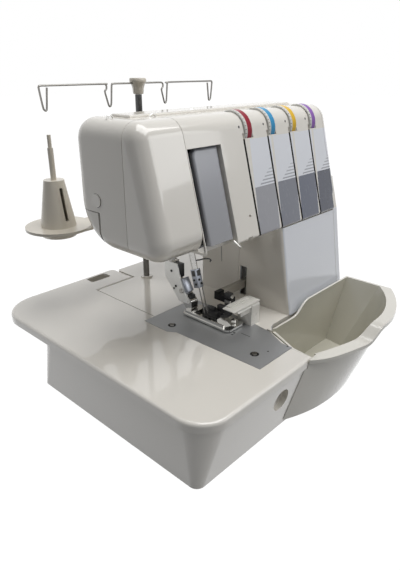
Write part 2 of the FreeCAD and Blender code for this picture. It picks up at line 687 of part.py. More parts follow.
# Needle bar group, made about its own axis
bar = rod(NEEDLE_BAR_R, (0, 0, -4), (0, 0, NEEDLE_BAR_L))
clamp_plan = [(-7, -6, 2), (7, -6, 2), (7, 5.5, 3), (-7, 5.5, 3)]
clamp = prism(clamp_plan, "z", -6, 16).cut(rod(NEEDLE_BAR_R, (0, 0, -4), (0, 0, 20)))
needle_x = (-NEEDLE_PITCH / 2, NEEDLE_PITCH / 2)
needles = []
for x in needle_x:
    blade = rod(NEEDLE_R, (x, -3, -NEEDLE_L + 4), (x, -3, -6))
    point = Part.makeCone(0.1, NEEDLE_R, 4, V(x, -3, -NEEDLE_L))
    needles.append(tilted(blade.fuse(point)))
NODES["needle_clamp"] = tilted(clamp)
NODES["needles"] = group(needles)
LINK_X = (4.5, 9.5)
COLLAR_R = 5.5
COLLAR_S = (110.0, 119.0)
crank_s = (CRANK_Z - NEEDLE_Z) / math.cos(lean)
NODES["needle_bar"] = tilted(bar.fuse(rod(COLLAR_R, (0, 0, COLLAR_S[0]), (0, 0, COLLAR_S[1]))))
link = fuse([
    box(LINK_X[0], LINK_X[1], -4, 4, COLLAR_S[0] + 2, crank_s + CRANK_THROW),
    rod(6.0, (LINK_X[0], 0, crank_s + CRANK_THROW), (LINK_X[1], 0, crank_s + CRANK_THROW)),
])
link = link.cut(rod(3.2, (0, 0, crank_s + CRANK_THROW), (20, 0, crank_s + CRANK_THROW)))
link = link.cut(rod(COLLAR_R, (0, 0, COLLAR_S[0]), (0, 0, COLLAR_S[1])))
NODES["needle_link"] = tilted(link)

# Presser bar, ankle, foot and lifter
ankle_side = [
    (PRESSER_Y + 6, 132, 2),
    (PRESSER_Y - 6, 132, 2),
    (PRESSER_Y - 7, 114, 6),
    (FOOT_Y1 - 10, 88, 3),
    (FOOT_Y1 - 10, FOOT_Z + 6, 2),
    (FOOT_Y1 - 1, FOOT_Z + 6, 2),
    (FOOT_Y1 + 5, 84, 6),
    (PRESSER_Y + 6, 110, 4),
]
ankle = prism(ankle_side, "x", PRESSER_X - 5.5, PRESSER_X + 5.5)
NODES["foot_ankle"] = ankle.cut(rod(PRESSER_R, (PRESSER_X, PRESSER_Y, 116), (PRESSER_X, PRESSER_Y, 140)))
CAM_R = 8.0
collar_z = LIFTER_Z + CAM_R + 0.5
NODES["presser_bar"] = fuse([
    rod(PRESSER_R, (PRESSER_X, PRESSER_Y, 116), (PRESSER_X, PRESSER_Y, 250)),
    rod(6.5, (PRESSER_X, PRESSER_Y, collar_z), (PRESSER_X, PRESSER_Y, collar_z + 9)),
    box(138.5, PRESSER_X, LIFTER_Y + 0.2, PRESSER_Y + 4, collar_z, collar_z + 6),
])

sole_plan = [
    (FOOT_X0, FOOT_Y1, 3),
    (FOOT_X1 - 3, FOOT_Y1, 3),
    (FOOT_X1 - 3, FOOT_Y0 + 18, 2),
    (FOOT_X1, FOOT_Y0 + 12, 2),
    (FOOT_X1, FOOT_Y0, 4),
    (FOOT_X0, FOOT_Y0, 6),
]
sole = prism(sole_plan, "z", FOOT_Z, FOOT_Z + FOOT_T)
heel_block = box(FOOT_X0 + 3, FOOT_X1 - 6, FOOT_Y1 - 16, FOOT_Y1 - 2, FOOT_Z + FOOT_T, FOOT_Z + 6)
side_fence = box(FOOT_X0 + 1, FOOT_X0 + 3, FOOT_Y0 + 8, FOOT_Y1 - 4, FOOT_Z + FOOT_T, FOOT_Z + 6)
toe_block = prism(
    [(FOOT_Y0 + 6, FOOT_Z + FOOT_T), (FOOT_Y0 + 16, FOOT_Z + 8, 2), (FOOT_Y0 + 26, FOOT_Z + 8, 2),
     (FOOT_Y0 + 28, FOOT_Z + FOOT_T)], "x", FOOT_X0 + 13, FOOT_X1 - 5)
toe_stud = rod(3.2, (FOOT_X1 - 8, FOOT_Y0 + 10, FOOT_Z + FOOT_T), (FOOT_X1 - 8, FOOT_Y0 + 10, FOOT_Z + 6))
foot = fuse([sole, heel_block, side_fence, toe_block, toe_stud])
foot_slot = box(NEEDLE_X - 3.6, NEEDLE_X + 6, NEEDLE_HOLE_Y - 9, NEEDLE_HOLE_Y + 8, 0, 100)
NODES["presser_foot"] = foot.cut(foot_slot)

CAM_X = 139.0
CAM_W = 8.0
CAM_STEPS = 6


def cam_point(turn, radius):
    angle = math.radians(90 + turn)
    return V(CAM_X, LIFTER_Y + radius * math.cos(angle), LIFTER_Z + radius * math.sin(angle))


ramp = []
for i in range(CAM_STEPS + 1):
    ramp.append(cam_point(LIFTER_TURN * i / CAM_STEPS, CAM_R + PRESSER_LIFT * i / CAM_STEPS))
rise = Part.BSplineCurve()
rise.interpolate(ramp)
heel = cam_point(150, LIFTER_R + 2)
cam_edges = [
    rise.toShape(),
    Part.makeLine(ramp[-1], heel),
    Part.Arc(heel, cam_point(-120, LIFTER_R + 2), cam_point(-60, LIFTER_R + 2)).toShape(),
    Part.makeLine(cam_point(-60, LIFTER_R + 2), ramp[0]),
]
cam = Part.Face(Part.Wire(cam_edges)).extrude(V(CAM_W, 0, 0))
lifter_shaft = rod_x(LIFTER_R, HEAD_X + LEVER_W, CAM_X + CAM_W, LIFTER_Y, LIFTER_Z)
lever = head(0).common(box(HEAD_X, HEAD_X + LEVER_W, LEVER_FRONT_Y, FAR, 0, LEVER_TOP_Z))
below_pivot = box(HEAD_X - 1, HEAD_X + LEVER_W + 1, LEVER_FRONT_Y - 5, LIFTER_Y, 0, LIFTER_Z)
swing_room = below_pivot.cut(rod_x(LIFTER_Y - LEVER_FRONT_Y + LEVER_GAP - 0.5, 0, FAR, LIFTER_Y, LIFTER_Z))
NODES["foot_lifter_lever"] = fuse([lever.cut(swing_room), lifter_shaft, cam])

# Feed dogs, loopers and knives
feed_z = BED_Z - 8.0
for name, (y0, y1) in (("feed_dog_main", FEED_MAIN), ("feed_dog_differential", FEED_DIFF)):
    bars = [box(x0, x1, y0, y1, feed_z, BED_Z) for x0, x1 in FEED_LANES]
    for x0, x1 in FEED_LANES:
        count = int((y1 - y0) / 3)
        for i in range(count):
            y = y0 + 3 * i
            tooth = prism([(y, BED_Z), (y + 2.4, BED_Z), (y + 2.2, BED_Z + 0.6)], "x", x0, x1)
            bars.append(tooth)
    bars.append(box(FEED_LANES[0][0], FEED_LANES[1][1], y0, y0 + 8, feed_z, BED_Z - PLATE_T - 1))
    NODES[name] = fuse(bars)

lower_points = [(LOWER_PIVOT[0] - 4, 30, 2), (LOWER_PIVOT[0] + 4, 30, 2), (LOWER_PIVOT[0] + 4, 40, 2),
                (172, 56, 6), (160, 58.5, 1), (172, 50, 5)]
lower = prism(lower_points, "y", LOOPER_Y, LOOPER_Y + 5)
lower = fuse([
    lower,
    rod(6, (LOWER_PIVOT[0], LOOPER_Y - 6, LOWER_PIVOT[1]), (LOWER_PIVOT[0], LOOPER_Y + 16, LOWER_PIVOT[1])),
    rod(LOOPER_PIN_R, (LOWER_PIVOT[0], LOOPER_Y, LOWER_PIVOT[1]), (LOWER_PIVOT[0], 150, LOWER_PIVOT[1])),
])
NODES["lower_looper"] = lower
upper_points = [(UPPER_PIVOT[0] - 3, 47, 2), (UPPER_PIVOT[0] + 4, 47, 2), (UPPER_PIVOT[0] + 4, 57, 2),
                (190, 63, 3), (184, 62.5, 0.8), (188, 54, 4)]
upper = prism(upper_points, "y", LOOPER_Y - 18, LOOPER_Y - 13)
upper = fuse([
    upper,
    rod(5, (UPPER_PIVOT[0], LOOPER_Y - 24, UPPER_PIVOT[1]), (UPPER_PIVOT[0], LOOPER_Y - 8, UPPER_PIVOT[1])),
    rod(LOOPER_PIN_R, (UPPER_PIVOT[0], LOOPER_Y - 10, UPPER_PIVOT[1]), (UPPER_PIVOT[0], 150, UPPER_PIVOT[1])),
])
NODES["upper_looper"] = upper

KNIFE_Z = 92.0
knife_arm = fuse([
    box(176, WEB_L[1] - 1, KNIFE_Y[0], KNIFE_Y[1], KNIFE_Z - 5, KNIFE_Z + 5),
    box(176, 184, 119, KNIFE_Y[1], KNIFE_Z - 5, KNIFE_Z + 3),
    box(176, 184, 119, 127, KNIFE_Z - 12, KNIFE_Z + 3),
])
NODES["knife_arm"] = knife_arm
knife = prism([(119, 78), (127, 76.5), (127, KNIFE_Z), (119, KNIFE_Z)], "x", 174, 176)
NODES["upper_knife"] = knife
NODES["lower_knife"] = box(180.5, 182.0, 112, 134, 58, DECK_Z)

GUARD_Z = 97.0
GUARD_X = (152.0, 191.0)
GUARD_Y = (88.0, 108.0)
GUARD_WALL_X = FOOT_X1 + 3.0
guard_side = [
    (GUARD_Y[0], BED_Z, 0),
    (GUARD_Y[0], GUARD_Z, 4),
    (GUARD_Y[1], GUARD_Z, 1),
    (GUARD_Y[1], GUARD_Z - 2, 0),
    (GUARD_Y[0] + 2, GUARD_Z - 2, 2),
    (GUARD_Y[0] + 2, BED_Z, 0),
]
guard = prism(guard_side, "x", GUARD_X[0], GUARD_X[1])
toe_window = box(GUARD_X[0] - 1, GUARD_WALL_X, 80, 92, 0, GUARD_Z - 3)
guard_wall = box(GUARD_WALL_X, GUARD_WALL_X + 2, GUARD_Y[0], GUARD_Y[1], BED_Z, GUARD_Z - 1)
NODES["knife_guard"] = fuse([guard.cut(toe_window), guard_wall])

# Tension dials on one axle, with their disc pairs
NODES["dial_axle"] = rod_x(AXLE_R, DIAL_X - 7, AXLE_END, CORNER_Y, CORNER_Z)
DIAL_NAMES = ("tension_dial_1", "tension_dial_2", "tension_dial_3", "tension_dial_4")
for i, name in enumerate(DIAL_NAMES):
    wheel = rod_x(DIAL_R, dial_x(i), dial_x(i) + DIAL_W, CORNER_Y, CORNER_Z)
    wheel = wheel.makeFillet(1.2, wheel.Edges)
    hollow = tube(DIAL_R - 4, AXLE_R + 4, (dial_x(i) + 4, CORNER_Y, CORNER_Z),
                  (dial_x(i) + DIAL_W + 1, CORNER_Y, CORNER_Z))
    wheel = wheel.cut(hollow).cut(rod_x(AXLE_R + FIT, 0, FAR, CORNER_Y, CORNER_Z))
    NODES[name] = wheel
discs = []
for i in range(DIAL_COUNT):
    for offset in (-1.5, 0.7):
        x = DIAL_X + DIAL_PITCH * i + offset
        discs.append(tube(9.0, AXLE_R, (x, CORNER_Y, CORNER_Z), (x + 0.8, CORNER_Y, CORNER_Z)))
NODES["tension_discs"] = group(discs)

# Thread stand: post, telescoping rod, cap and wire guide
NODES["tree_post"] = tube(POST_R, ROD_R + FIT, (POST_X, STAND_Y, POST_FOOT), (POST_X, STAND_Y, POST_TOP))
NODES["tree_rod"] = rod(ROD_R, (POST_X, STAND_Y, POST_FOOT + 12), (POST_X, STAND_Y, GUIDE_Z - 4))
cap_plan = [(POST_X - 9, STAND_Y - 6, 4), (POST_X + 9, STAND_Y - 6, 4), (POST_X + 9, STAND_Y + 6, 4), (POST_X - 9, STAND_Y + 6, 4)]
CAP_Z = (POST_TOP + 0.4, GUIDE_Z + 6.0)
cap = prism(cap_plan, "z", CAP_Z[0], CAP_Z[1])
cap = cap.makeFillet(1.5, edges_where(cap, lambda p: abs(p.z - CAP_Z[1]) < 1e-3))
cap = cap.cut(rod(ROD_R, (POST_X, STAND_Y, 0), (POST_X, STAND_Y, GUIDE_Z - 4)))


def hook(x):
    """Corner points of one hanging thread eye, from its left leg to its right leg."""
    return [
        (x - HOOK_W / 2, GUIDE_Z),
        (x - 1.2, GUIDE_Z - HOOK_DEPTH),
        (x + 1.2, GUIDE_Z - HOOK_DEPTH),
        (x + HOOK_W / 2, GUIDE_Z),
    ]


def wire_run(points):
    pieces = []
    for (xa, za), (xb, zb) in zip(points, points[1:]):
        pieces.append(rod(WIRE_R, (xa, STAND_Y, za), (xb, STAND_Y, zb)))
    for x, z in points[1:-1]:
        pieces.append(Part.makeSphere(WIRE_R, V(x, STAND_Y, z)))
    return fuse(pieces)


runs = []
for sign in (-1, 1):
    near = hook(POST_X + sign * GUIDE_INNER)
    away = hook(POST_X + sign * GUIDE_OUTER)
    if sign < 0:
        near = near[::-1]
        away = away[::-1]
    runs.append(wire_run([(POST_X + sign * 5, GUIDE_Z)] + near + away[:3] + [
        (away[3][0], GUIDE_Z), (away[3][0], GUIDE_Z - 6)]))
NODES["tree_guide_wires"] = group(runs)
bores = [rod(WIRE_R, (POST_X + s * 5, STAND_Y, GUIDE_Z), (POST_X + s * 20, STAND_Y, GUIDE_Z)) for s in (-1, 1)]
NODES["tree_cap"] = cut(cap, bores)

# Spool stand with four pins under the four eyes
SPOOL_X = [POST_X - GUIDE_OUTER, POST_X - GUIDE_INNER, POST_X + GUIDE_INNER, POST_X + GUIDE_OUTER]
STAND_T = 9.0
beam = box(SPOOL_X[0], SPOOL_X[-1], STAND_Y - 12, STAND_Y + 12, SPOOL_Z - STAND_T, SPOOL_Z)
saucers = [Part.makeCone(20, 28, STAND_T, V(x, STAND_Y, SPOOL_Z - STAND_T)) for x in SPOOL_X]
brace = box(POST_X + 40, POST_X + 110, BACK_Y, STAND_Y, SPOOL_Z - STAND_T, SPOOL_Z - 2)
stand = fuse([beam, brace] + saucers)
post_hole = rod(POST_R, (POST_X, STAND_Y, 0), (POST_X, STAND_Y, FAR))
pins = []
for x in SPOOL_X:
    shank = rod(SPOOL_PIN_R, (x, STAND_Y, SPOOL_Z - STAND_T), (x, STAND_Y, SPOOL_PIN_TOP - 14))
    tip_pin = rod(SPOOL_PIN_R - 1, (x, STAND_Y, SPOOL_PIN_TOP - 14), (x, STAND_Y, SPOOL_PIN_TOP))
    pins.append(shank.fuse(tip_pin))
NODES["spool_stand"] = fuse([stand.cut(post_hole)] + pins)
DISC_T = 3.0
spool_discs = []
cones = []
for x in SPOOL_X:
    spool_discs.append(tube(SPOOL_DISC_R, SPOOL_PIN_R, (x, STAND_Y, SPOOL_Z), (x, STAND_Y, SPOOL_Z + DISC_T)))
    body = Part.makeCone(CONE_BASE_R, CONE_TOP_R, CONE_H, V(x, STAND_Y, SPOOL_Z + DISC_T))
    inner = Part.makeCone(CONE_BASE_R - 2, CONE_TOP_R - 2, CONE_H - 2.5, V(x, STAND_Y, SPOOL_Z + DISC_T))
    body = body.cut(inner).cut(rod(SPOOL_PIN_R, (x, STAND_Y, 0), (x, STAND_Y, FAR)))
    slit_lo = SPOOL_Z + DISC_T + 8
    slit = box(x - 2, x + 2, STAND_Y - 30, STAND_Y + 30, slit_lo, SPOOL_Z + DISC_T + CONE_H - 8)
    cones.append(body.cut(slit))
NODES["spool_discs"] = group(spool_discs)
NODES["cone_holders"] = group(cones)

# Extension table: a lipped top plate on hollow drafted walls
LIP_PLAN = [
    (0, 0, TABLE_CORNER_R),
    (TABLE_RIGHT_X, 0, 1),
    (TABLE_RIGHT_X, PLATE_FRONT_Y - GAP),
    (PLATE_LEFT_X - GAP, PLATE_FRONT_Y - GAP),
    (PLATE_LEFT_X - GAP, PLATE_BACK_Y + GAP),
    (BED_LEFT_X, PLATE_BACK_Y + GAP),
    (BED_LEFT_X, TABLE_TAIL_Y),
    (TABLE_TAIL_X, TABLE_TAIL_Y, 4),
    (TABLE_TAIL_X, TABLE_BACK_Y, 8),
    (0, TABLE_BACK_Y, TABLE_REAR_R),
]
lip_z = BED_Z - TABLE_LIP
lip = prism(LIP_PLAN, "z", lip_z, BED_Z)


def on_outer_edge(p):
    left_or_back = p.x < TABLE_REAR_R + 1 or p.y > TABLE_BACK_Y - 1
    return abs(p.z - BED_Z) < 1e-3 and (left_or_back or p.y < 0.01) and p.y < TABLE_BACK_Y + 1


rim_edges = [e for e in lip.Edges if all(on_outer_edge(v.Point) for v in e.Vertexes)
             and min(v.Point.x for v in e.Vertexes) < TABLE_REAR_R + 1]
lip = lip.makeFillet(TABLE_EDGE_R, rim_edges)
lip = lip.cut(prism(inset(LIP_PLAN, WALL + 1.5), "z", lip_z - 1, BED_Z - 3))


def table_walls(z, front, corner, depth):
    plan = [
        (TABLE_LIP_OUT, front, corner),
        (TABLE_RIGHT_X - 0.6, front),
        (TABLE_RIGHT_X - 0.6, PLATE_FRONT_Y - GAP),
        (PLATE_LEFT_X - GAP, PLATE_FRONT_Y - GAP),
        (PLATE_LEFT_X - GAP, TABLE_BOX_BACK_Y, 3.0 + depth),
        (TABLE_LIP_OUT, TABLE_BOX_BACK_Y, corner),
    ]
    return outline(inset(plan, depth), "z", z)


def table_box(depth):
    wires = [
        table_walls(0, TABLE_FRONT_DRAFT, 9.0, depth),
        table_walls(BED_Z - 3, 0.4, TABLE_CORNER_R - 3, depth),
    ]
    return Part.makeLoft(wires, True, True)


table = table_box(0).cut(table_box(WALL))
finger = rod(FINGER_HOLE_R, (FINGER_HOLE_X, -5, FINGER_HOLE_Z), (FINGER_HOLE_X, 12, FINGER_HOLE_Z))
cup = rod(FINGER_HOLE_R + 2, (FINGER_HOLE_X, 3, FINGER_HOLE_Z), (FINGER_HOLE_X, 14, FINGER_HOLE_Z))
cup = cup.cut(rod(FINGER_HOLE_R, (FINGER_HOLE_X, 0, FINGER_HOLE_Z), (FINGER_HOLE_X, 12, FINGER_HOLE_Z)))
table = table.cut(finger)
outer_box = table_box(0)
table = fuse([table, lip.cut(table_box(WALL)).fuse(lip.common(table_box(WALL))), cup.common(outer_box)])
tail_slot = prism([(128, 328, 4), (160, 328, 4), (160, 344, 4), (128, 344, 4)], "z", 0, BED_Z + 1)
tongue = prism(
    [
        (PLATE_LEFT_X - 2, PLATE_FRONT_Y - 2),
        (PLATE_STEP_X + 3 - GAP, PLATE_FRONT_Y - 2),
        (PLATE_STEP_X - GAP, 140.0),
        (PLATE_LEFT_X - GAP, 150.0),
        (PLATE_LEFT_X - 2, 150.0),
    ],
    "z", DECK_Z + GAP, BED_Z,
)
NODES["extension_table"] = fuse([table.cut(tail_slot), tongue])

# Waste tray: a bowl lofted from floor to rim, with a flange that rises to the right
TRAY_X = TABLE_RIGHT_X + 0.8
TRAY_FLOOR_FRONT = [(131, 9.8), (TRAY_X, -3.5), (215, -8), (270, 2), (312, 36)]
TRAY_RIM_FRONT = [(162, -1.5), (TRAY_X, -5.0), (215, -22), (262, -30), (310, -20), (358, 8)]
TRAY_FLOOR_BACK_X = 316.0
TRAY_NICK = (171.0, 28.0)
TRAY_BACK_X = 188.0
TRAY_TOP_Z = TRAY_RIM_HIGH + 2


def spline(points, z):
    curve = Part.BSplineCurve()
    curve.interpolate([V(x, y, z) for x, y in points])
    return curve.toShape()


def tray_section(z, front, right, thick):
    """Closed plan of the bowl at a height; the inside plan starts at the table's right edge."""
    if thick:
        front = [(x + min(thick, WALL), y + thick) for x, y in front[1:]]
        front[-1] = (front[-1][0] - WALL - min(thick, WALL), front[-1][1])
        right = right - WALL
    start = front[0]
    end = front[-1]
    side = max(thick, 0) and WALL
    corners = [
        end,
        (right, TRAY_BACK_Y - side),
        (TRAY_BACK_X + side, TRAY_BACK_Y - side),
        (TRAY_NICK[0] + side, TRAY_NICK[1]),
        (TRAY_X + side, start[1] + (0 if not thick else 4)),
        start,
    ]
    edges = [spline(front, z)]
    for a, b in zip(corners, corners[1:]):
        if math.hypot(a[0] - b[0], a[1] - b[1]) > 1e-6:
            edges.append(Part.makeLine(V(a[0], a[1], z), V(b[0], b[1], z)))
    return Part.Wire(edges)


def tray_bowl(floor_wall, rim_wall):
    floor = TRAY_FLOOR_Z + floor_wall
    return Part.makeLoft([
        tray_section(floor, TRAY_FLOOR_FRONT, TRAY_FLOOR_BACK_X, floor_wall),
        tray_section(TRAY_TOP_Z, TRAY_RIM_FRONT, TRAY_RIM_FRONT[-1][0], rim_wall),
    ], True, True)


def under_rim(drop):
    """Everything below the rim line, which swings up to the right in one S."""
    y = -100
    low = TRAY_RIM_LOW - drop
    high = TRAY_RIM_HIGH - drop
    middle = (TRAY_RISE_X0 + TRAY_RISE_X1) / 2
    knots = [V(TRAY_RISE_X0, y, low), V(middle, y, (low + high) / 2), V(TRAY_RISE_X1, y, high)]
    swing = Part.BSplineCurve()
    swing.interpolate(Points=knots, InitialTangent=V(1, 0, 0), FinalTangent=V(1, 0, 0))
    corners = [knots[-1], V(FAR, y, high), V(FAR, y, -20), V(0, y, -20), V(0, y, low), knots[0]]
    edges = [swing.toShape()]
    edges += [Part.makeLine(a, b) for a, b in zip(corners, corners[1:])]
    return Part.Face(Part.Wire(edges)).extrude(V(0, 300, 0))


outer_rim = [(x, y - TRAY_LIP) for x, y in TRAY_RIM_FRONT]
outer_rim[0] = (TRAY_RIM_FRONT[0][0] - TRAY_LIP, TRAY_RIM_FRONT[0][1])
rim_end = outer_rim[-1]
flange_corners = [rim_end, (rim_end[0], TRAY_BACK_Y), (TRAY_BACK_X, TRAY_BACK_Y), TRAY_NICK,
                  (TRAY_X, outer_rim[0][1]), outer_rim[0]]
flange_edges = [spline(outer_rim, 0)]
flange_edges += [Part.makeLine(V(a[0], a[1], 0), V(b[0], b[1], 0)) for a, b in zip(flange_corners, flange_corners[1:])]
flange = Part.Face(Part.Wire(flange_edges)).extrude(V(0, 0, TRAY_TOP_Z))
rim = under_rim(0)
flange = flange.common(rim).cut(under_rim(TRAY_FLANGE_T))
bowl = tray_bowl(0, 0).common(rim)
tray = bowl.fuse(flange).cut(tray_bowl(WALL, TRAY_FLANGE - TRAY_LIP))
side_top = prism(
    [
        (TRAY_X - 2, 0),
        (TRAY_X + WALL + 1.5, 0),
        (TRAY_NICK[0] + WALL + 2, TRAY_NICK[1]),
        (TRAY_BACK_X + WALL + 1, TRAY_BACK_Y - WALL),
        (TRAY_BACK_X - 4, TRAY_BACK_Y + 1),
        (TRAY_X - 2, TRAY_NICK[1]),
    ],
    "z", TRAY_RIM_LOW - 4, FAR,
)
table_lip = prism(inset(LIP_PLAN, -GAP), "z", lip_z - GAP, BED_Z + 1)
tray = cut(tray, [table_box(-GAP), table_lip, side_top])
NODES["waste_tray"] = max(tray.Solids, key=lambda solid: solid.Volume).removeSplitter()

# Controls on the right side
STITCH_R = 15.0
KNOB_T = 9.0
dial_knob = rod_x(STITCH_R, RIGHT_X + 0.5, RIGHT_X + 0.5 + KNOB_T, STITCH_DIAL_Y, STITCH_DIAL_Z)
dial_knob = dial_knob.makeFillet(1.5, [e for e in dial_knob.Edges if e.BoundBox.XMin > RIGHT_X + KNOB_T])
dial_stem = rod_x(KNOB_BORE - FIT, RIGHT_X - 12, RIGHT_X + 0.5, STITCH_DIAL_Y, STITCH_DIAL_Z)
NODES["stitch_length_dial"] = dial_knob.fuse(dial_stem)
lever_points = [(DIFF_Y - 7, DIFF_Z - 8, 5), (DIFF_Y + 7, DIFF_Z - 8, 5), (DIFF_Y + 4, DIFF_Z + 26, 3.5), (DIFF_Y - 4, DIFF_Z + 26, 3.5)]
diff = prism(lever_points, "x", RIGHT_X + 0.5, RIGHT_X + 6.5)
NODES["differential_lever"] = diff.fuse(rod_x(KNOB_BORE - FIT, RIGHT_X - 12, RIGHT_X + 0.5, DIFF_Y, DIFF_Z))
SWITCH_X = RIGHT_X - 1.0
rocker = prism(
    [(SWITCH_X - 8, PANEL_Z - 8.8, 2), (SWITCH_X - 0.2, PANEL_Z - 8.8, 0.5), (SWITCH_X - 1.6, PANEL_Z),
     (SWITCH_X + 1.6, PANEL_Z + 8.2, 0.5), (SWITCH_X - 8, PANEL_Z + 8.6, 2)],
    "y", SWITCH_Y - 4.9, SWITCH_Y + 4.9)
rocker_pin = rod(1.8, (SWITCH_X - 5, SWITCH_Y - 7, PANEL_Z), (SWITCH_X - 5, SWITCH_Y + 7, PANEL_Z))
NODES["power_switch_rocker"] = rocker.fuse(rocker_pin)
inlet = box(SWITCH_X - 14, SWITCH_X, INLET_Y - 8, INLET_Y + 8, PANEL_Z - 7, PANEL_Z + 7)
NODES["power_inlet"] = inlet.cut(box(SWITCH_X - 11, SWITCH_X + 2, INLET_Y - 6, INLET_Y + 6, PANEL_Z - 5, PANEL_Z + 5))

# The shared frame: X and Y centred on the whole, Z from the surface it stands on
os.makedirs("parts", exist_ok=True)
whole = Part.makeCompound(list(NODES.values())).optimalBoundingBox(False)
shift = V(-whole.Center.x, -whole.Center.y, -whole.ZMin)
print("shift", round(shift.x, 3), round(shift.y, 3), round(shift.z, 3))
print("size", round(whole.XLength, 2), round(whole.YLength, 2), round(whole.ZLength, 2))
for name, shape in NODES.items():
    shape = shape.copy()
    shape.translate(shift)
    solids = shape.Solids
    print(name, len(solids), round(shape.Volume), "valid" if shape.isValid() else "NOT VALID")
    shape.exportStep("parts/" + name + ".step")
print(len(NODES), "nodes")
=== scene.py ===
# %% [markdown]
# # An overlock machine
# An overlock machine trims and seams cloth in one pass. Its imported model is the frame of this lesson. Each
# piece could be moved into place by its object, but here it keeps its place in its mesh, in metres, so that
# one set of coordinates serves every finish.

# %% Load the frame
import math
import bmesh
import bpy
from mathutils import Euler, Matrix, Vector


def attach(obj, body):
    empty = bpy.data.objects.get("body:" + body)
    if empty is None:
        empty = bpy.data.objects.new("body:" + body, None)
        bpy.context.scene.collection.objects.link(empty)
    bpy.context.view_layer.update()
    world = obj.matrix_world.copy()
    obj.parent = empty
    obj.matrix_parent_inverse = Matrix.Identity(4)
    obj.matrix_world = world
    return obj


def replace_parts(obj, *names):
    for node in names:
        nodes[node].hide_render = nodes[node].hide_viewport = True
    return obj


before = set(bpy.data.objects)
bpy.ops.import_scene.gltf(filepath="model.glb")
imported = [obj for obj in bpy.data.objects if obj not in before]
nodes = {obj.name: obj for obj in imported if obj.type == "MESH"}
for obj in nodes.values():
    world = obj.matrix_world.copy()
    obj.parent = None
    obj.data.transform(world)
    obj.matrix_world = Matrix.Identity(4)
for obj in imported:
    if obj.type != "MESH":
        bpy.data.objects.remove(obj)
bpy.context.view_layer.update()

# %% [markdown]
# The machine is measured in millimetres from the front left of its table, but the frame has its origin under
# the machine's middle. Places could be written in metres from there, but a ruler gives millimetres, so one
# small helper turns one into the other.

# %% Places in millimetres
FRAME_ORIGIN = Vector((188.0, 157.749, 0.0))
MM = 0.001


def at(x, y, z):
    return (Vector((x, y, z)) - FRAME_ORIGIN) * MM


print("needle plate corner", at(101, 26, 70))

# %% [markdown]
# The photograph looks down on the left front corner. A camera could be set by eye, but one with the lens and
# place of the real camera shows the same edges, so it is made first and all that follows can be compared.

# %% Camera
HEADING = math.radians(43.04)
PITCH = math.radians(23.43)
LENS_MM = 31.77
CAMERA_PLACE = (-0.4287, -0.37815, 0.345)


def new_object(name, data):
    made = bpy.data.objects.new(name, data)
    bpy.context.scene.collection.objects.link(made)
    return made


lens = bpy.data.cameras.new("camera")
lens.lens = LENS_MM
lens.sensor_width = 36.0
lens.clip_start = 0.01
camera = new_object("camera", lens)
camera.location = CAMERA_PLACE
look = Vector((
    math.cos(HEADING) * math.cos(PITCH),
    math.sin(HEADING) * math.cos(PITCH),
    -math.sin(PITCH),
))
camera.rotation_euler = look.to_track_quat("-Z", "Y").to_euler()
bpy.context.scene.camera = camera
bpy.context.scene.view_settings.view_transform = "Standard"
print("camera at", CAMERA_PLACE)

# %% [markdown]
# A machine of pale plastic shows its shape by soft reflections. Point lamps would leave hard specks, so large
# area lamps stand for studio boxes. The one behind lights the back edges and is kept out of the reflections.

# %% Lamps
def lamp(name, place, aim, size, power):
    data = bpy.data.lights.new(name, "AREA")
    data.shape = "RECTANGLE"
    data.size = size[0]
    data.size_y = size[1]
    data.energy = power
    made = new_object(name, data)
    made.location = place
    made.rotation_euler = (Vector(aim) - Vector(place)).to_track_quat("-Z", "Y").to_euler()
    return made


lamp("top_box", (0.25, -0.35, 1.6), (0, 0, 0.1), (1.3, 1.3), 19)
lamp("front_box", (0.9, -1.4, 0.9), (0, 0, 0.2), (1.0, 0.7), 5)
back_box = lamp("back_box", (-0.5, 1.3, 1.0), (-0.05, 0.1, 0.1), (0.9, 0.5), 7)
back_box.visible_glossy = False
lamp("left_strip", (-1.3, -0.75, 0.75), (0, 0, 0.2), (0.1, 0.9), 0.25)
print("four lamps ready")

# %% [markdown]
# The background is white. A bright world would do that, but it would wash out the pale shell. So the world is
# white only to rays from the camera, from gloss and from glass, and all other rays meet a dim fill.

# %% World
def direct_rays(tree):
    """1 for rays that come from the camera, from gloss or through glass."""
    path = tree.nodes.new("ShaderNodeLightPath")
    found = path.outputs["Is Camera Ray"]
    for kind in ("Is Glossy Ray", "Is Transmission Ray"):
        join = tree.nodes.new("ShaderNodeMath")
        join.operation = "MAXIMUM"
        tree.links.new(found, join.inputs[0])
        tree.links.new(path.outputs[kind], join.inputs[1])
        found = join.outputs[0]
    return found


def mix_looks(tree, share, other, direct, out):
    """Send one of two shaders to the output: the direct one where share is 1."""
    mix = tree.nodes.new("ShaderNodeMixShader")
    tree.links.new(share, mix.inputs[0])
    tree.links.new(other.outputs[0], mix.inputs[1])
    tree.links.new(direct.outputs[0], mix.inputs[2])
    tree.links.new(mix.outputs[0], out.inputs["Surface"])


world = bpy.data.worlds.new("studio")
bpy.context.scene.world = world
world.use_nodes = True
sky = world.node_tree
sky.nodes.clear()
sky_seen = sky.nodes.new("ShaderNodeBackground")
sky_seen.inputs["Color"].default_value = (1, 1, 1, 1)
sky_fill = sky.nodes.new("ShaderNodeBackground")
sky_fill.inputs["Color"].default_value = (0.93, 0.96, 1.0, 1)
sky_fill.inputs["Strength"].default_value = 0.09
mix_looks(sky, direct_rays(sky), sky_fill, sky_seen, sky.nodes.new("ShaderNodeOutputWorld"))
print("world", world.name)

# %% [markdown]
# The floor is a plain sheet with the same trick. Its glow never takes the whole share, so that the shadow of
# the machine stays on it.

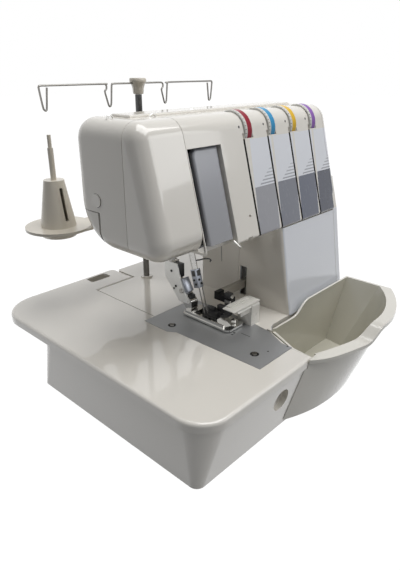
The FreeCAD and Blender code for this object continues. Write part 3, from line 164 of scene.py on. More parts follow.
# %% Floor
FLOOR_HALF = 6.0
floor_mesh = bpy.data.meshes.new("floor")
corners = [(-1, -1), (1, -1), (1, 1), (-1, 1)]
floor_mesh.from_pydata([(FLOOR_HALF * a, FLOOR_HALF * b, 0) for a, b in corners], [], [(0, 1, 2, 3)])
floor = new_object("floor", floor_mesh)
floor_look = bpy.data.materials.new("pale_floor")
floor_look.use_nodes = True
tree = floor_look.node_tree
tree.nodes.clear()
floor_card = tree.nodes.new("ShaderNodeBsdfDiffuse")
floor_card.inputs["Color"].default_value = (0.22, 0.22, 0.22, 1)
floor_glow = tree.nodes.new("ShaderNodeEmission")
floor_glow.inputs["Color"].default_value = (1, 1, 1, 1)
floor_glow.inputs["Strength"].default_value = 1.2
floor_share = tree.nodes.new("ShaderNodeMath")
floor_share.operation = "MULTIPLY"
floor_share.inputs[1].default_value = 0.86
tree.links.new(direct_rays(tree), floor_share.inputs[0])
floor_out = tree.nodes.new("ShaderNodeOutputMaterial")
mix_looks(tree, floor_share.outputs[0], floor_card, floor_glow, floor_out)
floor_mesh.materials.append(floor_look)
print("floor", 2 * FLOOR_HALF, "m wide")

# %% [markdown]
# Every finish below is a small tree of nodes. Written out, each Math, Mix or Noise node takes four lines, so
# three helpers make one node each and return its output.

# %% One node at a time
def calc(tree, operation, a, b=None, clamp=False):
    """One Math node; a and b are sockets or numbers."""
    node = tree.nodes.new("ShaderNodeMath")
    node.operation = operation
    node.use_clamp = clamp
    for socket, value in zip(node.inputs, (a, b)):
        if value is None:
            continue
        if isinstance(value, (int, float)):
            socket.default_value = value
        else:
            tree.links.new(value, socket)
    return node.outputs[0]


def blend_colour(tree, share, a, b):
    """Colour a where share is 0 and colour b where it is 1."""
    node = tree.nodes.new("ShaderNodeMix")
    node.data_type = "RGBA"
    for socket, value in ((node.inputs[0], share), (node.inputs[6], a), (node.inputs[7], b)):
        if hasattr(value, "is_linked"):
            tree.links.new(value, socket)
        else:
            socket.default_value = value
    return node.outputs[2]


def noise(tree, vector, scale, detail=3.0):
    node = tree.nodes.new("ShaderNodeTexNoise")
    node.inputs["Scale"].default_value = scale
    node.inputs["Detail"].default_value = detail
    tree.links.new(vector, node.inputs["Vector"])
    return node.outputs["Fac"]


print("node helpers ready")

# %% [markdown]
# Moulded plastic is never one flat colour: it yellows a little in patches, its gloss changes where hands have
# rubbed it, and the mould leaves a very fine orange peel. Each material could hold its own three noises, but
# one node group gives all three, and a plastic only sets its own amounts.

# %% Shared group: moulded surface
moulded = bpy.data.node_groups.new("moulded_surface", "ShaderNodeTree")
for label, kind, value in (
        ("Place", "NodeSocketVector", (0, 0, 0)), ("Base", "NodeSocketColor", (0.8, 0.8, 0.8, 1)),
        ("Aged", "NodeSocketColor", (0.7, 0.7, 0.6, 1)), ("Gloss", "NodeSocketFloat", 0.25),
        ("Rub", "NodeSocketFloat", 0.1)):
    socket = moulded.interface.new_socket(label, in_out="INPUT", socket_type=kind)
    socket.default_value = value
for label, kind in (
        ("Colour", "NodeSocketColor"), ("Roughness", "NodeSocketFloat"), ("Height", "NodeSocketFloat")):
    moulded.interface.new_socket(label, in_out="OUTPUT", socket_type=kind)
g_in = moulded.nodes.new("NodeGroupInput")
g_out = moulded.nodes.new("NodeGroupOutput")
patches = noise(moulded, g_in.outputs["Place"], 5.0, 1.0)
smears = noise(moulded, g_in.outputs["Place"], 38.0, 5.0)
peel = noise(moulded, g_in.outputs["Place"], 900.0, 2.0)
patch_share = calc(moulded, "MULTIPLY", patches, 0.6, True)
aged_colour = blend_colour(moulded, patch_share, g_in.outputs["Base"], g_in.outputs["Aged"])
rubbed = calc(moulded, "MULTIPLY", smears, g_in.outputs["Rub"])
moulded.links.new(aged_colour, g_out.inputs["Colour"])
moulded.links.new(calc(moulded, "ADD", rubbed, g_in.outputs["Gloss"]), g_out.inputs["Roughness"])
moulded.links.new(peel, g_out.inputs["Height"])
print("group", moulded.name)

# %% [markdown]
# A finish is a Principled shader in the material itself, fed by the group. Colours could be given as linear
# light, but they are easier to judge as the eye sees them, so one helper turns screen values into light.

# %% Plastic finishes
def seen(r, g, b):
    """A colour given in screen values from 0 to 255."""
    parts = []
    for value in (r, g, b):
        v = value / 255
        parts.append(v / 12.92 if v < 0.04045 else ((v + 0.055) / 1.055) ** 2.4)
    return (*parts, 1.0)


def start_material(name):
    made = bpy.data.materials.new(name)
    made.use_nodes = True
    return made, made.node_tree, made.node_tree.nodes["Principled BSDF"]


def object_place(tree):
    return tree.nodes.new("ShaderNodeTexCoord").outputs["Object"]


def bump(tree, shader, height, distance, strength):
    node = tree.nodes.new("ShaderNodeBump")
    node.inputs["Distance"].default_value = distance
    node.inputs["Strength"].default_value = strength
    tree.links.new(height, node.inputs["Height"])
    tree.links.new(node.outputs[0], shader.inputs["Normal"])


def shell_start(name, base, aged, gloss=0.14, rub=0.12, coat=0.6, peel=0.06):
    """A moulded plastic whose colour can be overlaid before it reaches the shader."""
    made, tree, shader = start_material(name)
    node = tree.nodes.new("ShaderNodeGroup")
    node.node_tree = moulded
    for label, value in (("Base", base), ("Aged", aged), ("Gloss", gloss), ("Rub", rub)):
        node.inputs[label].default_value = value
    tree.links.new(object_place(tree), node.inputs["Place"])
    tree.links.new(node.outputs["Roughness"], shader.inputs["Roughness"])
    shader.inputs["Coat Weight"].default_value = coat
    shader.inputs["Coat Roughness"].default_value = 0.04
    bump(tree, shader, node.outputs["Height"], 0.00006, peel)
    return made, tree, shader, node.outputs["Colour"]


def plastic(name, base, aged, gloss, rub, coat=0.0, peel=0.15):
    made, tree, shader, shade = shell_start(name, base, aged, gloss, rub, coat, peel)
    tree.links.new(shade, shader.inputs["Base Color"])
    return made


cream = plastic("cream_shell", seen(230, 226, 218), seen(225, 220, 211), 0.14, 0.1, 0.9, 0.05)
guard_white = plastic("guard_white", seen(226, 224, 218), seen(218, 215, 207), 0.22, 0.12, 0.3)
beige = plastic("stand_beige", seen(212, 205, 191), seen(205, 197, 182), 0.26, 0.12, 0.4)
black = plastic("moulded_black", seen(34, 34, 35), seen(48, 48, 48), 0.4, 0.15)
rubber = plastic("black_rubber", seen(30, 30, 30), seen(44, 43, 42), 0.7, 0.15)
pan_paint = plastic("pan_paint", seen(196, 192, 182), seen(180, 176, 166), 0.5, 0.2)
motor_paint = plastic("motor_paint", seen(60, 60, 62), seen(46, 46, 48), 0.45, 0.2)
for finish in (cream, guard_white, beige, black, rubber, pan_paint, motor_paint):
    print("finish", finish.name)

# %% [markdown]
# Metals differ by how they were worked: bars are turned, the foot is polished and plated, the frame is cast,
# wires are drawn. Fine scratches could be a picture, but noise that a Mapping node stretches along one
# direction gives them at any size.

# %% Metal finishes
def streaks(tree, stretch, scale):
    """Noise that is stretched along one direction."""
    mapping = tree.nodes.new("ShaderNodeMapping")
    mapping.inputs["Scale"].default_value = stretch
    tree.links.new(object_place(tree), mapping.inputs["Vector"])
    return noise(tree, mapping.outputs[0], scale, 4.0)


def metal(name, colour, dark, roughness, stretch, strength, metallic=1.0):
    made, tree, shader = start_material(name)
    streak = streaks(tree, stretch, 260.0)
    cloud = noise(tree, object_place(tree), 45.0, 4.0)
    tree.links.new(blend_colour(tree, cloud, colour, dark), shader.inputs["Base Color"])
    shader.inputs["Metallic"].default_value = metallic
    uneven = calc(tree, "MULTIPLY", streak, roughness * 0.5)
    tree.links.new(calc(tree, "ADD", uneven, roughness * 0.75), shader.inputs["Roughness"])
    bump(tree, shader, streak, 0.00005, strength)
    return made


satin = metal("satin_clamp", seen(150, 154, 162), seen(128, 132, 140), 0.34, (3, 3, 3), 0.1)
steel = metal("turned_steel", seen(190, 189, 186), seen(165, 164, 161), 0.28, (6, 6, 1), 0.12)
chrome = metal("plated_chrome", seen(214, 213, 210), seen(196, 195, 192), 0.14, (2, 2, 2), 0.05)
wire_metal = metal("guide_wire", seen(138, 136, 132), seen(130, 128, 124), 0.2, (0.1, 0.1, 0.1), 0.0)
needle_metal = metal("needle_steel", seen(112, 110, 106), seen(92, 90, 87), 0.25, (1, 1, 1), 0.02)
cast = metal("cast_metal", seen(214, 214, 212), seen(196, 196, 194), 0.55, (1, 1, 1), 0.3)
brass = metal("bush_brass", seen(196, 164, 96), seen(168, 136, 76), 0.35, (6, 1, 1), 0.1)
dark_metal = metal("blackened_steel", seen(52, 51, 50), seen(36, 36, 36), 0.36, (3, 3, 3), 0.1, 0.7)
for finish in (satin, steel, chrome, wire_metal, needle_metal, cast, brass, dark_metal):
    print("finish", finish.name)

# %% [markdown]
# Print on the head could be a picture, but a picture blurs when seen close. Here it is drawn by numbers:
# masks in millimetres mark out a box, a disc or a stripe, and where a mask is 1 a colour is laid on.

# %% Masks in millimetres
def millimetres(tree):
    """Object coordinates as three sockets in millimetres from the front left of the table."""
    split = tree.nodes.new("ShaderNodeSeparateXYZ")
    tree.links.new(object_place(tree), split.inputs[0])
    found = []
    for socket, origin in zip(split.outputs, FRAME_ORIGIN):
        found.append(calc(tree, "ADD", calc(tree, "MULTIPLY", socket, 1000.0), origin))
    return found


def facing(tree):
    """The normal in object coordinates as three sockets."""
    split = tree.nodes.new("ShaderNodeSeparateXYZ")
    tree.links.new(tree.nodes.new("ShaderNodeTexCoord").outputs["Normal"], split.inputs[0])
    return split.outputs


def minus(tree, a, b):
    return calc(tree, "SUBTRACT", a, b)


def times(tree, a, b):
    return calc(tree, "MULTIPLY", a, b)


def above(tree, value, low):
    return calc(tree, "GREATER_THAN", value, low)


def below(tree, value, high):
    return calc(tree, "LESS_THAN", value, high)


def between(tree, value, low, high):
    return times(tree, above(tree, value, low), below(tree, value, high))


def every(tree, *masks):
    """1 where all masks are 1."""
    share = masks[0]
    for mask in masks[1:]:
        share = times(tree, share, mask)
    return share


def disc(tree, a, b, middle, radius):
    da = minus(tree, a, middle[0])
    db = minus(tree, b, middle[1])
    square = calc(tree, "ADD", times(tree, da, da), times(tree, db, db))
    return below(tree, square, radius * radius)


print("mask helpers ready")

# %% [markdown]
# The front of the head leans back and carries four thread lanes. Lanes could be separate meshes, but here
# they are print on one moulding, so the material counts them along X. The lanes are printed a cooler white,
# and the column's front faces below them get the same cooler white as painted light, which sets them apart
# from the warmer cream of the sides.

# %% Printed head: lanes
FRONT_Y, FRONT_Z, FRONT_LEAN = 86.5, 176.0, 0.27619
GROOVE = 184.4
PITCH_X = 41.8
LANES = 4
SIDE_Z, SIDE_LEAN = 202.0, 0.1
LANE_FOOT, LANE_TOP = 177.0, 275.5
SHEET_WITHIN = (0.05, 0.955)


def front_depth(tree, y, z):
    """How far a place lies behind the leaning front of the head."""
    lean_back = times(tree, minus(tree, z, FRONT_Z), FRONT_LEAN)
    return minus(tree, minus(tree, y, FRONT_Y), lean_back)


printed, tree, shader, shade = shell_start("printed_head", seen(230, 226, 218), seen(224, 219, 209))
x, y, z = millimetres(tree)
depth = front_depth(tree, y, z)
past_groove = minus(tree, x, GROOVE)
lean_side = times(tree, minus(tree, z, SIDE_Z), SIDE_LEAN)
count = calc(tree, "DIVIDE", minus(tree, past_groove, lean_side), PITCH_X)
within = calc(tree, "FRACT", count)
on_lanes = every(tree, between(tree, count, 0.0, LANES), below(tree, depth, 1.2))
sheet = every(
    tree, on_lanes, between(tree, within, *SHEET_WITHIN), between(tree, z, LANE_FOOT, LANE_TOP))
frontal = below(tree, facing(tree)[1], -0.75)
# Painted light: front faces of the column below the lanes get the cooler white of a lit face.
painted_cool_front = every(tree, frontal, above(tree, x, GROOVE), below(tree, z, LANE_FOOT))
shade = blend_colour(tree, calc(tree, "MAXIMUM", sheet, painted_cool_front), shade, seen(226, 229, 236))
print("lanes", LANES)

# %% [markdown]
# Each lane ends in a grey patch, darker from lane to lane. Four materials would do it, but a Color Ramp with
# hard steps picks the tone from the lane's number. Faint scratches keep the patches from looking flat.

# %% Printed head: patches
PATCH_TONES = [(148, 149, 156), (106, 110, 123), (72, 80, 102), (28, 39, 66)]
PATCH_WITHIN = (0.06, 0.945)
PATCH_Z = (177.5, 226.8)
ramp = tree.nodes.new("ShaderNodeValToRGB")
ramp.color_ramp.interpolation = "CONSTANT"
while len(ramp.color_ramp.elements) < len(PATCH_TONES):
    ramp.color_ramp.elements.new(0.5)
for i, tone in enumerate(PATCH_TONES):
    ramp.color_ramp.elements[i].position = i / LANES
    ramp.color_ramp.elements[i].color = seen(*tone)
tree.links.new(calc(tree, "DIVIDE", count, LANES), ramp.inputs[0])
scratch = above(tree, streaks(tree, (60, 60, 6), 9.0), 0.62)
worn = blend_colour(tree, times(tree, scratch, 0.05), ramp.outputs[0], seen(215, 216, 220))
patch = every(tree, on_lanes, between(tree, within, *PATCH_WITHIN), between(tree, z, *PATCH_Z))
shade = blend_colour(tree, patch, shade, worn)
print("patches", len(PATCH_TONES))

# %% [markdown]
# Thread runs in the dark grooves between the lanes. Above each patch, thin stripes get shorter and fainter
# going up, and a dot beside each dial shows where its scale is read. All of them repeat, so a fraction of the
# lane's count draws every copy at once.

# %% Printed head: grooves, stripes and dots
STRIPE_Z = (228.4, 245.0)
STRIPE_STEP = 3.4
DOT_Z = 288.5
lane = calc(tree, "DIVIDE", past_groove, PITCH_X)
near_groove = calc(tree, "ABSOLUTE", minus(tree, lane, calc(tree, "ROUND", lane)))
groove = every(
    tree, below(tree, near_groove, 0.06), between(tree, lane, -0.1, 3.1), between(tree, depth, 0.25, 3.0),
    between(tree, z, LANE_FOOT, 276.0))
shade = blend_colour(tree, groove, shade, seen(58, 57, 56))

height = minus(tree, z, STRIPE_Z[0])
stripe_on = below(tree, calc(tree, "FRACT", calc(tree, "DIVIDE", height, STRIPE_STEP)), 0.42)
stripe_left = calc(tree, "ADD", times(tree, height, 0.03), 0.28)
stripe = every(
    tree, on_lanes, stripe_on, between(tree, z, *STRIPE_Z), below(tree, within, 0.93),
    above(tree, within, stripe_left))
fade = minus(tree, 0.72, times(tree, height, 0.026))
shade = blend_colour(tree, times(tree, stripe, fade), shade, seen(112, 114, 124))

step = calc(tree, "DIVIDE", minus(tree, x, GROOVE - 4.8), PITCH_X)
offset = times(tree, minus(tree, step, calc(tree, "ROUND", step)), PITCH_X)
dot = every(
    tree, disc(tree, offset, z, (0.0, DOT_Z), 1.3), between(tree, step, -0.5, 3.5), below(tree, y, 140.0))
shade = blend_colour(tree, dot, shade, seen(40, 40, 42))
print("stripes from", STRIPE_Z[0], "to", STRIPE_Z[1], "mm")

# %% [markdown]
# The recess behind the take-up cover swallows light. Lamps alone would leave it too pale, so its left, back
# and roof are painted black. Its right wall, which light does reach, stays pale.

# %% Printed head: recess
RECESS_X, RECESS_Z, RECESS_DEPTH = (97.5, 146.6), (181.0, 277.0), (1.4, 45.0)
recess = every(
    tree, between(tree, x, *RECESS_X), between(tree, z, *RECESS_Z), between(tree, depth, *RECESS_DEPTH))
shade = blend_colour(tree, recess, shade, seen(22, 22, 23))
tree.links.new(shade, shader.inputs["Base Color"])
print("finish", printed.name)

# %% [markdown]
# Each tension dial has a coloured band round a white wheel and fine marks on its left rim. Marks could be cut
# into the mesh, but on the real wheel they are print, so the angle round the axle draws them. One loop makes
# all four, each from its own wheel's left end.

# %% Dials
DIAL_START = GROOVE + 2.4
DIAL_MIDDLE = (136.5, 282.0)
DIAL_TONES = [(146, 18, 42), (50, 146, 196), (232, 182, 36), (136, 88, 174)]
MARKS_ROUND = 36
MARKS_X, BAND_X = (0.6, 2.6), (4.0, 11.4)
bands = []
for i, tone in enumerate(DIAL_TONES):
    made, tree, shader, shade = shell_start(
        "dial_band_%d" % (i + 1), seen(226, 225, 220), seen(220, 218, 211), coat=0.0)
    x, y, z = millimetres(tree)
    along = minus(tree, x, DIAL_START + PITCH_X * i)
    turn = calc(tree, "ARCTAN2", minus(tree, z, DIAL_MIDDLE[1]), minus(tree, y, DIAL_MIDDLE[0]))
    ticks = below(tree, calc(tree, "FRACT", times(tree, turn, MARKS_ROUND / 2 / math.pi)), 0.14)
    marks = every(tree, ticks, between(tree, along, *MARKS_X))
    shade = blend_colour(tree, marks, shade, seen(70, 70, 74))
    mottle = times(tree, noise(tree, object_place(tree), 320.0, 3.0), 0.25)
    band = blend_colour(tree, mottle, seen(*tone), seen(*[min(255, c + 50) for c in tone]))
    shade = blend_colour(tree, between(tree, along, *BAND_X), shade, band)
    tree.links.new(shade, shader.inputs["Base Color"])
    shader.inputs["Specular IOR Level"].default_value = 0.15
    bands.append(made)
print("bands", [made.name for made in bands])

# %% [markdown]
# The take-up cover is smoke-grey plastic, with painted shade that darkens it a little towards its bottom. It
# could be made to let light through, but no part shows behind the real one, so it is opaque. What lies deep
# at its edges is painted black, as painted shade for the gap.

# %% Smoke plastic
SMOKE_Z, SMOKE_RISE = 183.0, 92.0
GAP_DEPTH = 7.6
smoke, tree, shader, shade = shell_start("smoke_cover", seen(162, 164, 172), seen(154, 156, 164), coat=0.25)
x, y, z = millimetres(tree)
# Painted shade: the cover gets darker towards its bottom.
painted_shade_rise = calc(tree, "DIVIDE", minus(tree, z, SMOKE_Z), SMOKE_RISE, True)
shade = blend_colour(tree, painted_shade_rise, seen(152, 153, 157), shade)
# Painted shade: whatever lies deep in the gap round the cover is black.
painted_gap_shade = above(tree, front_depth(tree, y, z), GAP_DEPTH)
shade = blend_colour(tree, painted_gap_shade, shade, seen(24, 24, 25))
tree.links.new(shade, shader.inputs["Base Color"])
shader.inputs["Coat Roughness"].default_value = 0.25
print("finish", smoke.name)

# %% [markdown]
# A gap between two covers reads as a dark line, because light that enters it is lost. A render with few
# bounces shows too little of that, so the sides of the lifter lever and of its notch are drawn dark below the
# surface, and so is a fine ring round the plug.

# %% Lever gap
PLUG, PLUG_RING = (181.0, 226.0), (6.3, 7.0)
NOTCH_X, NOTCH_Y, NOTCH_Z = (43.4, 60.0), 176.6, 217.0
lever_shell, tree, shader, shade = shell_start("lever_shell", seen(230, 226, 218), seen(225, 220, 211))
x, y, z = millimetres(tree)
notch = every(tree, between(tree, x, *NOTCH_X), above(tree, y, NOTCH_Y), below(tree, z, NOTCH_Z))
plug_ring = minus(tree, disc(tree, y, z, PLUG, PLUG_RING[1]), disc(tree, y, z, PLUG, PLUG_RING[0]))
plug_line = times(tree, plug_ring, below(tree, x, 50.0))
shade = blend_colour(tree, calc(tree, "MAXIMUM", notch, plug_line, True), shade, seen(40, 39, 37))
tree.links.new(shade, shader.inputs["Base Color"])
print("finish", lever_shell.name)

# %% [markdown]
# The waste tray catches trimmed cloth. Its inside is painted greyer, as painted shade in the bowl, and noise
# mottles it darker in places. Two meshes could carry two materials, but the tray is one moulding, so the
# normal and the place tell inside from outside. The post of the thread tree is black, and painted grey lower
# down, as painted light bounced up from the table.

# %% Tray and post
tray_shell, tree, shader, shade = shell_start("tray_shell", seen(226, 223, 214), seen(220, 216, 206))
x, y, z = millimetres(tree)
normal = facing(tree)
inward = calc(tree, "MAXIMUM", above(tree, normal[1], -0.1), above(tree, y, 50.0))
rim = times(tree, above(tree, normal[2], 0.7), above(tree, z, 55.0))
# Painted shade: the inside of the bowl is greyer than the outside.
shaded_inside = times(tree, inward, minus(tree, 1.0, rim))
mottle = times(tree, noise(tree, object_place(tree), 60.0, 4.0), 0.2)
shade = blend_colour(tree, shaded_inside, shade, seen(192, 189, 175))
shade = blend_colour(tree, times(tree, shaded_inside, mottle), shade, seen(176, 172, 158))
tree.links.new(shade, shader.inputs["Base Color"])

POST_BOUNCE_Z = 190.0
post_shell, tree, shader, shade = shell_start("post_shell", seen(34, 34, 35), seen(44, 44, 45))
x, y, z = millimetres(tree)
# Painted light: the post is grey below this height, as light bounced up from the table.
shade = blend_colour(tree, below(tree, z, POST_BOUNCE_Z), shade, seen(104, 102, 96))
tree.links.new(shade, shader.inputs["Base Color"])
print("finishes", tray_shell.name, post_shell.name)

# %% [markdown]
# The needle plate is ground steel with a few drilled holes and a short engraved line in front of the foot.
# Holes this small could be cut, but dark discs of painted shade look the same at this size, and a dark ring
# of painted shade lines each screw's seat. The knife's carrier is the same kind of metal, black only at the
# end that holds the knife.

# %% Needle plate and knife carrier
PLATE_SCREWS = [(115.5, 156.7), (129.5, 47.4)]
SCREW_SEAT = 4.8
PLATE_HOLES = [((143.5, 40.3), 1.0), ((165.9, 30.9), 1.0), ((146.0, 91.5), 1.5), ((150.5, 92.0), 1.5)]


def ground(name, colour, dark, roughness, metallic):
    """Ground metal with a shade that can be overlaid."""
    made, tree, shader = start_material(name)
    streak = streaks(tree, (1, 14, 14), 240.0)
    shade = blend_colour(tree, noise(tree, object_place(tree), 30.0, 4.0), colour, dark)
    shader.inputs["Metallic"].default_value = metallic
    tree.links.new(calc(tree, "ADD", times(tree, streak, 0.16), roughness), shader.inputs["Roughness"])
    bump(tree, shader, streak, 0.00004, 0.12)
    return made, tree, shader, shade


plate_metal, tree, shader, shade = ground(
    "ground_plate", seen(158, 159, 160), seen(146, 147, 148), 0.36, 0.75)
x, y, z = millimetres(tree)
# Painted shade: dark discs stand for the holes, and a dark ring for the shade in each screw's seat.
for middle, radius in PLATE_HOLES + [(spot, SCREW_SEAT) for spot in PLATE_SCREWS]:
    shade = blend_colour(tree, disc(tree, x, y, middle, radius), shade, seen(28, 28, 28))
line = every(tree, between(tree, x, 154.8, 155.7), between(tree, y, 73.5, 86.0))
shade = blend_colour(tree, line, shade, seen(48, 48, 48))
tree.links.new(shade, shader.inputs["Base Color"])

BLACK_END_X = 187.0
carrier, tree, shader, shade = ground("knife_carrier", seen(176, 172, 164), seen(160, 156, 148), 0.4, 0.7)
x, y, z = millimetres(tree)
shade = blend_colour(tree, below(tree, x, BLACK_END_X), shade, seen(30, 30, 31))
tree.links.new(shade, shader.inputs["Base Color"])
print("finishes", plate_metal.name, carrier.name)

# %% [markdown]
# Each node of the frame keeps its mesh and only trades its plain colour for one of these finishes. A line per
# node would do, but a list of names under each finish shows at a glance what is made of what.

# %% Finishes on the nodes
FINISHES = {
    cream: "face_cover end_cover_plug rear_cover looper_cover base_skirt bed_cover extension_table handwheel",
    lever_shell: "end_cover foot_lifter_lever",
    tray_shell: "waste_tray",
    printed: "front_panel right_cover top_cover column_cover",
    guard_white: "knife_guard",
    beige: "tree_cap spool_stand cone_holders spool_discs stitch_length_dial differential_lever",
    smoke: "take_up_cover",
    post_shell: "tree_post",
    black: "power_switch_rocker power_inlet shaft_pulleys motor_pulley",
    rubber: "rubber_feet timing_belt motor_belt",
    plate_metal: "needle_plate",
    satin: "needle_clamp",
    steel: "main_shaft upper_shaft needle_bar needle_link presser_bar feed_dog_main feed_dog_differential "
           "lower_looper upper_looper upper_knife lower_knife dial_axle tension_discs tree_rod",
    needle_metal: "needles",
    chrome: "foot_ankle presser_foot",
    wire_metal: "tree_guide_wires",
    cast: "cast_frame",
    brass: "shaft_bushes",
    carrier: "knife_arm",
    pan_paint: "bottom_pan",
    motor_paint: "motor",
}
FINISHES.update((band, "tension_dial_%d" % (i + 1)) for i, band in enumerate(bands))
finished = set()
for finish, names in FINISHES.items():
    for name in names.split():
        mesh = nodes[name].data
        mesh.materials.clear()
        mesh.materials.append(finish)
        finished.add(name)
print("nodes without a finish:", [name for name in nodes if name not in finished])

# %% [markdown]
# Parts that repeat are grown by Geometry Nodes. They could be copied in a loop, but a tree with named inputs
# can be tried out in the editor. Three helpers start a tree, end it and read a value stored on the points.

# %% Trees that grow parts
def grow_tree(name, inputs):
    made = bpy.data.node_groups.new(name, "GeometryNodeTree")
    for label, kind, value in inputs:
        socket = made.interface.new_socket(label, in_out="INPUT", socket_type=kind)
        if value is not None:
            socket.default_value = value
    made.interface.new_socket("Geometry", in_out="OUTPUT", socket_type="NodeSocketGeometry")
    return made, made.nodes.new("NodeGroupInput"), made.nodes.new("NodeGroupOutput")


def end_grow(made, source, result, target):
    """Realize the instances and give them the finish."""
    whole = made.nodes.new("GeometryNodeRealizeInstances")
    coat = made.nodes.new("GeometryNodeSetMaterial")
    made.links.new(result, whole.inputs["Geometry"])
    made.links.new(whole.outputs["Geometry"], coat.inputs["Geometry"])
    made.links.new(source.outputs["Finish"], coat.inputs["Material"])
    made.links.new(coat.outputs["Geometry"], target.inputs["Geometry"])


def attribute(made, name, kind):
    node = made.nodes.new("GeometryNodeInputNamedAttribute")
    node.data_type = kind
    node.inputs["Name"].default_value = name
    return node.outputs["Attribute"]


print("tree helpers ready")

# %% [markdown]
# Slotted screws hold the plate, the covers and the clamps. Their head could be modelled by hand, but a short
# cone from which a Mesh Boolean takes a bar is the same shape, and its slot can still be made wider.

# %% Geometry Nodes: one slotted head
screws, s_in, s_out = grow_tree("slotted_screws", [
    ("Points", "NodeSocketGeometry", None), ("Slot Width", "NodeSocketFloat", 0.3),
    ("Seed", "NodeSocketInt", 4), ("Finish", "NodeSocketMaterial", None)])
cone = screws.nodes.new("GeometryNodeMeshCone")
cone.inputs["Vertices"].default_value = 28
cone.inputs["Radius Top"].default_value = 0.88
cone.inputs["Radius Bottom"].default_value = 1.0
cone.inputs["Depth"].default_value = 0.5
cutter = screws.nodes.new("GeometryNodeMeshCube")
size = screws.nodes.new("ShaderNodeCombineXYZ")
size.inputs["X"].default_value = 2.4
size.inputs["Z"].default_value = 0.4
screws.links.new(s_in.outputs["Slot Width"], size.inputs["Y"])
screws.links.new(size.outputs[0], cutter.inputs["Size"])
lifted = screws.nodes.new("GeometryNodeTransform")
lifted.inputs["Translation"].default_value = (0, 0, 0.5)
screws.links.new(cutter.outputs["Mesh"], lifted.inputs["Geometry"])
carved = screws.nodes.new("GeometryNodeMeshBoolean")
carved.operation = "DIFFERENCE"
screws.links.new(cone.outputs["Mesh"], carved.inputs["Mesh 1"])
screws.links.new(lifted.outputs["Geometry"], carved.inputs["Mesh 2"])
print("head of", cone.inputs["Vertices"].default_value, "sides")

# %% [markdown]
# Every point of a small mesh gets such a head, sized by the point's own radius and turned to its own
# direction. Screws end at any angle, so a random turn is added, with a fixed seed that repeats it each time.

# %% Geometry Nodes: a head on every point
spin = screws.nodes.new("FunctionNodeRandomValue")
spin.data_type = "FLOAT"
spin.inputs[3].default_value = math.pi
screws.links.new(s_in.outputs["Seed"], spin.inputs["Seed"])
own_turn = screws.nodes.new("FunctionNodeAxisAngleToRotation")
own_turn.inputs["Axis"].default_value = (0, 0, 1)
screws.links.new(spin.outputs[1], own_turn.inputs["Angle"])
aim = screws.nodes.new("FunctionNodeAlignRotationToVector")
aim.axis = "Z"
screws.links.new(attribute(screws, "facing", "FLOAT_VECTOR"), aim.inputs["Vector"])
both = screws.nodes.new("FunctionNodeRotateRotation")
both.rotation_space = "LOCAL"
screws.links.new(aim.outputs[0], both.inputs["Rotation"])
screws.links.new(own_turn.outputs[0], both.inputs["Rotate By"])
spread = screws.nodes.new("GeometryNodeInstanceOnPoints")
screws.links.new(s_in.outputs["Points"], spread.inputs["Points"])
screws.links.new(carved.outputs["Mesh"], spread.inputs["Instance"])
screws.links.new(both.outputs[0], spread.inputs["Rotation"])
screws.links.new(attribute(screws, "head_radius", "FLOAT"), spread.inputs["Scale"])
end_grow(screws, s_in, spread.outputs["Instances"], s_out)
print("tree", screws.name)

# %% [markdown]
# A live modifier would be evaluated again in every pose. So a tree is evaluated once, and what it grew is
# kept as a plain mesh that rides on its body.

# %% From a tree to a piece
def plain_piece(name, mesh, body):
    piece = new_object(name, mesh)
    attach(piece, body)
    return piece


def grow(name, tree, points, settings, body):
    """Evaluate a tree once and keep what it grew as a plain mesh."""
    seed = new_object(name + "_seed", points)
    modifier = seed.modifiers.new("grow", "NODES")
    modifier.node_group = tree
    for item in tree.interface.items_tree:
        if item.item_type == "SOCKET" and item.in_out == "INPUT" and item.name in settings:
            modifier[item.identifier] = settings[item.name]
    ready = seed.evaluated_get(bpy.context.evaluated_depsgraph_get())
    mesh = bpy.data.meshes.new_from_object(ready)
    seed.modifiers.clear()
    bpy.data.objects.remove(seed)
    mesh.name = name
    print(name, len(mesh.polygons), "faces on", body)
    return plain_piece(name, mesh, body)


print("grower ready")

# %% [markdown]
# Screws sit on the needle plate, the rear cover, the needle clamp, the ankle of the foot and the knife. The
# needle bar leans, so places on it are measured along the bar.

# %% Screws
UP, FRONT, BACK, LEFT = (0, 0, 1), (0, -1, 0), (0, 1, 0), (-1, 0, 0)
LEAN = math.radians(16)
BAR_FRONT = (0, -math.cos(LEAN), math.sin(LEAN))
BAR_END = (148, 146, 117)
REAR_Y = 214.3
REAR_SPOTS = [(110, 190), (335, 190), (110, 262), (335, 262), (244, 88), (340, 88)]
PLATE_TOP = 69.4


def on_bar(x, y, z):
    """A place measured along the leaning needle bar."""
    return (
        BAR_END[0] + x,
        BAR_END[1] + y * math.cos(LEAN) + z * math.sin(LEAN),
        BAR_END[2] - y * math.sin(LEAN) + z * math.cos(LEAN),
    )


def screw_points(spots):
    """Points in millimetres: place, direction, head radius."""
    mesh = bpy.data.meshes.new("screw_points")
    mesh.from_pydata([at(*spot[0]) for spot in spots], [], [])
    mesh.attributes.new("facing", "FLOAT_VECTOR", "POINT")
    mesh.attributes.new("head_radius", "FLOAT", "POINT")
    for i, spot in enumerate(spots):
        mesh.attributes["facing"].data[i].vector = spot[1]
        mesh.attributes["head_radius"].data[i].value = spot[2] * MM
    return mesh


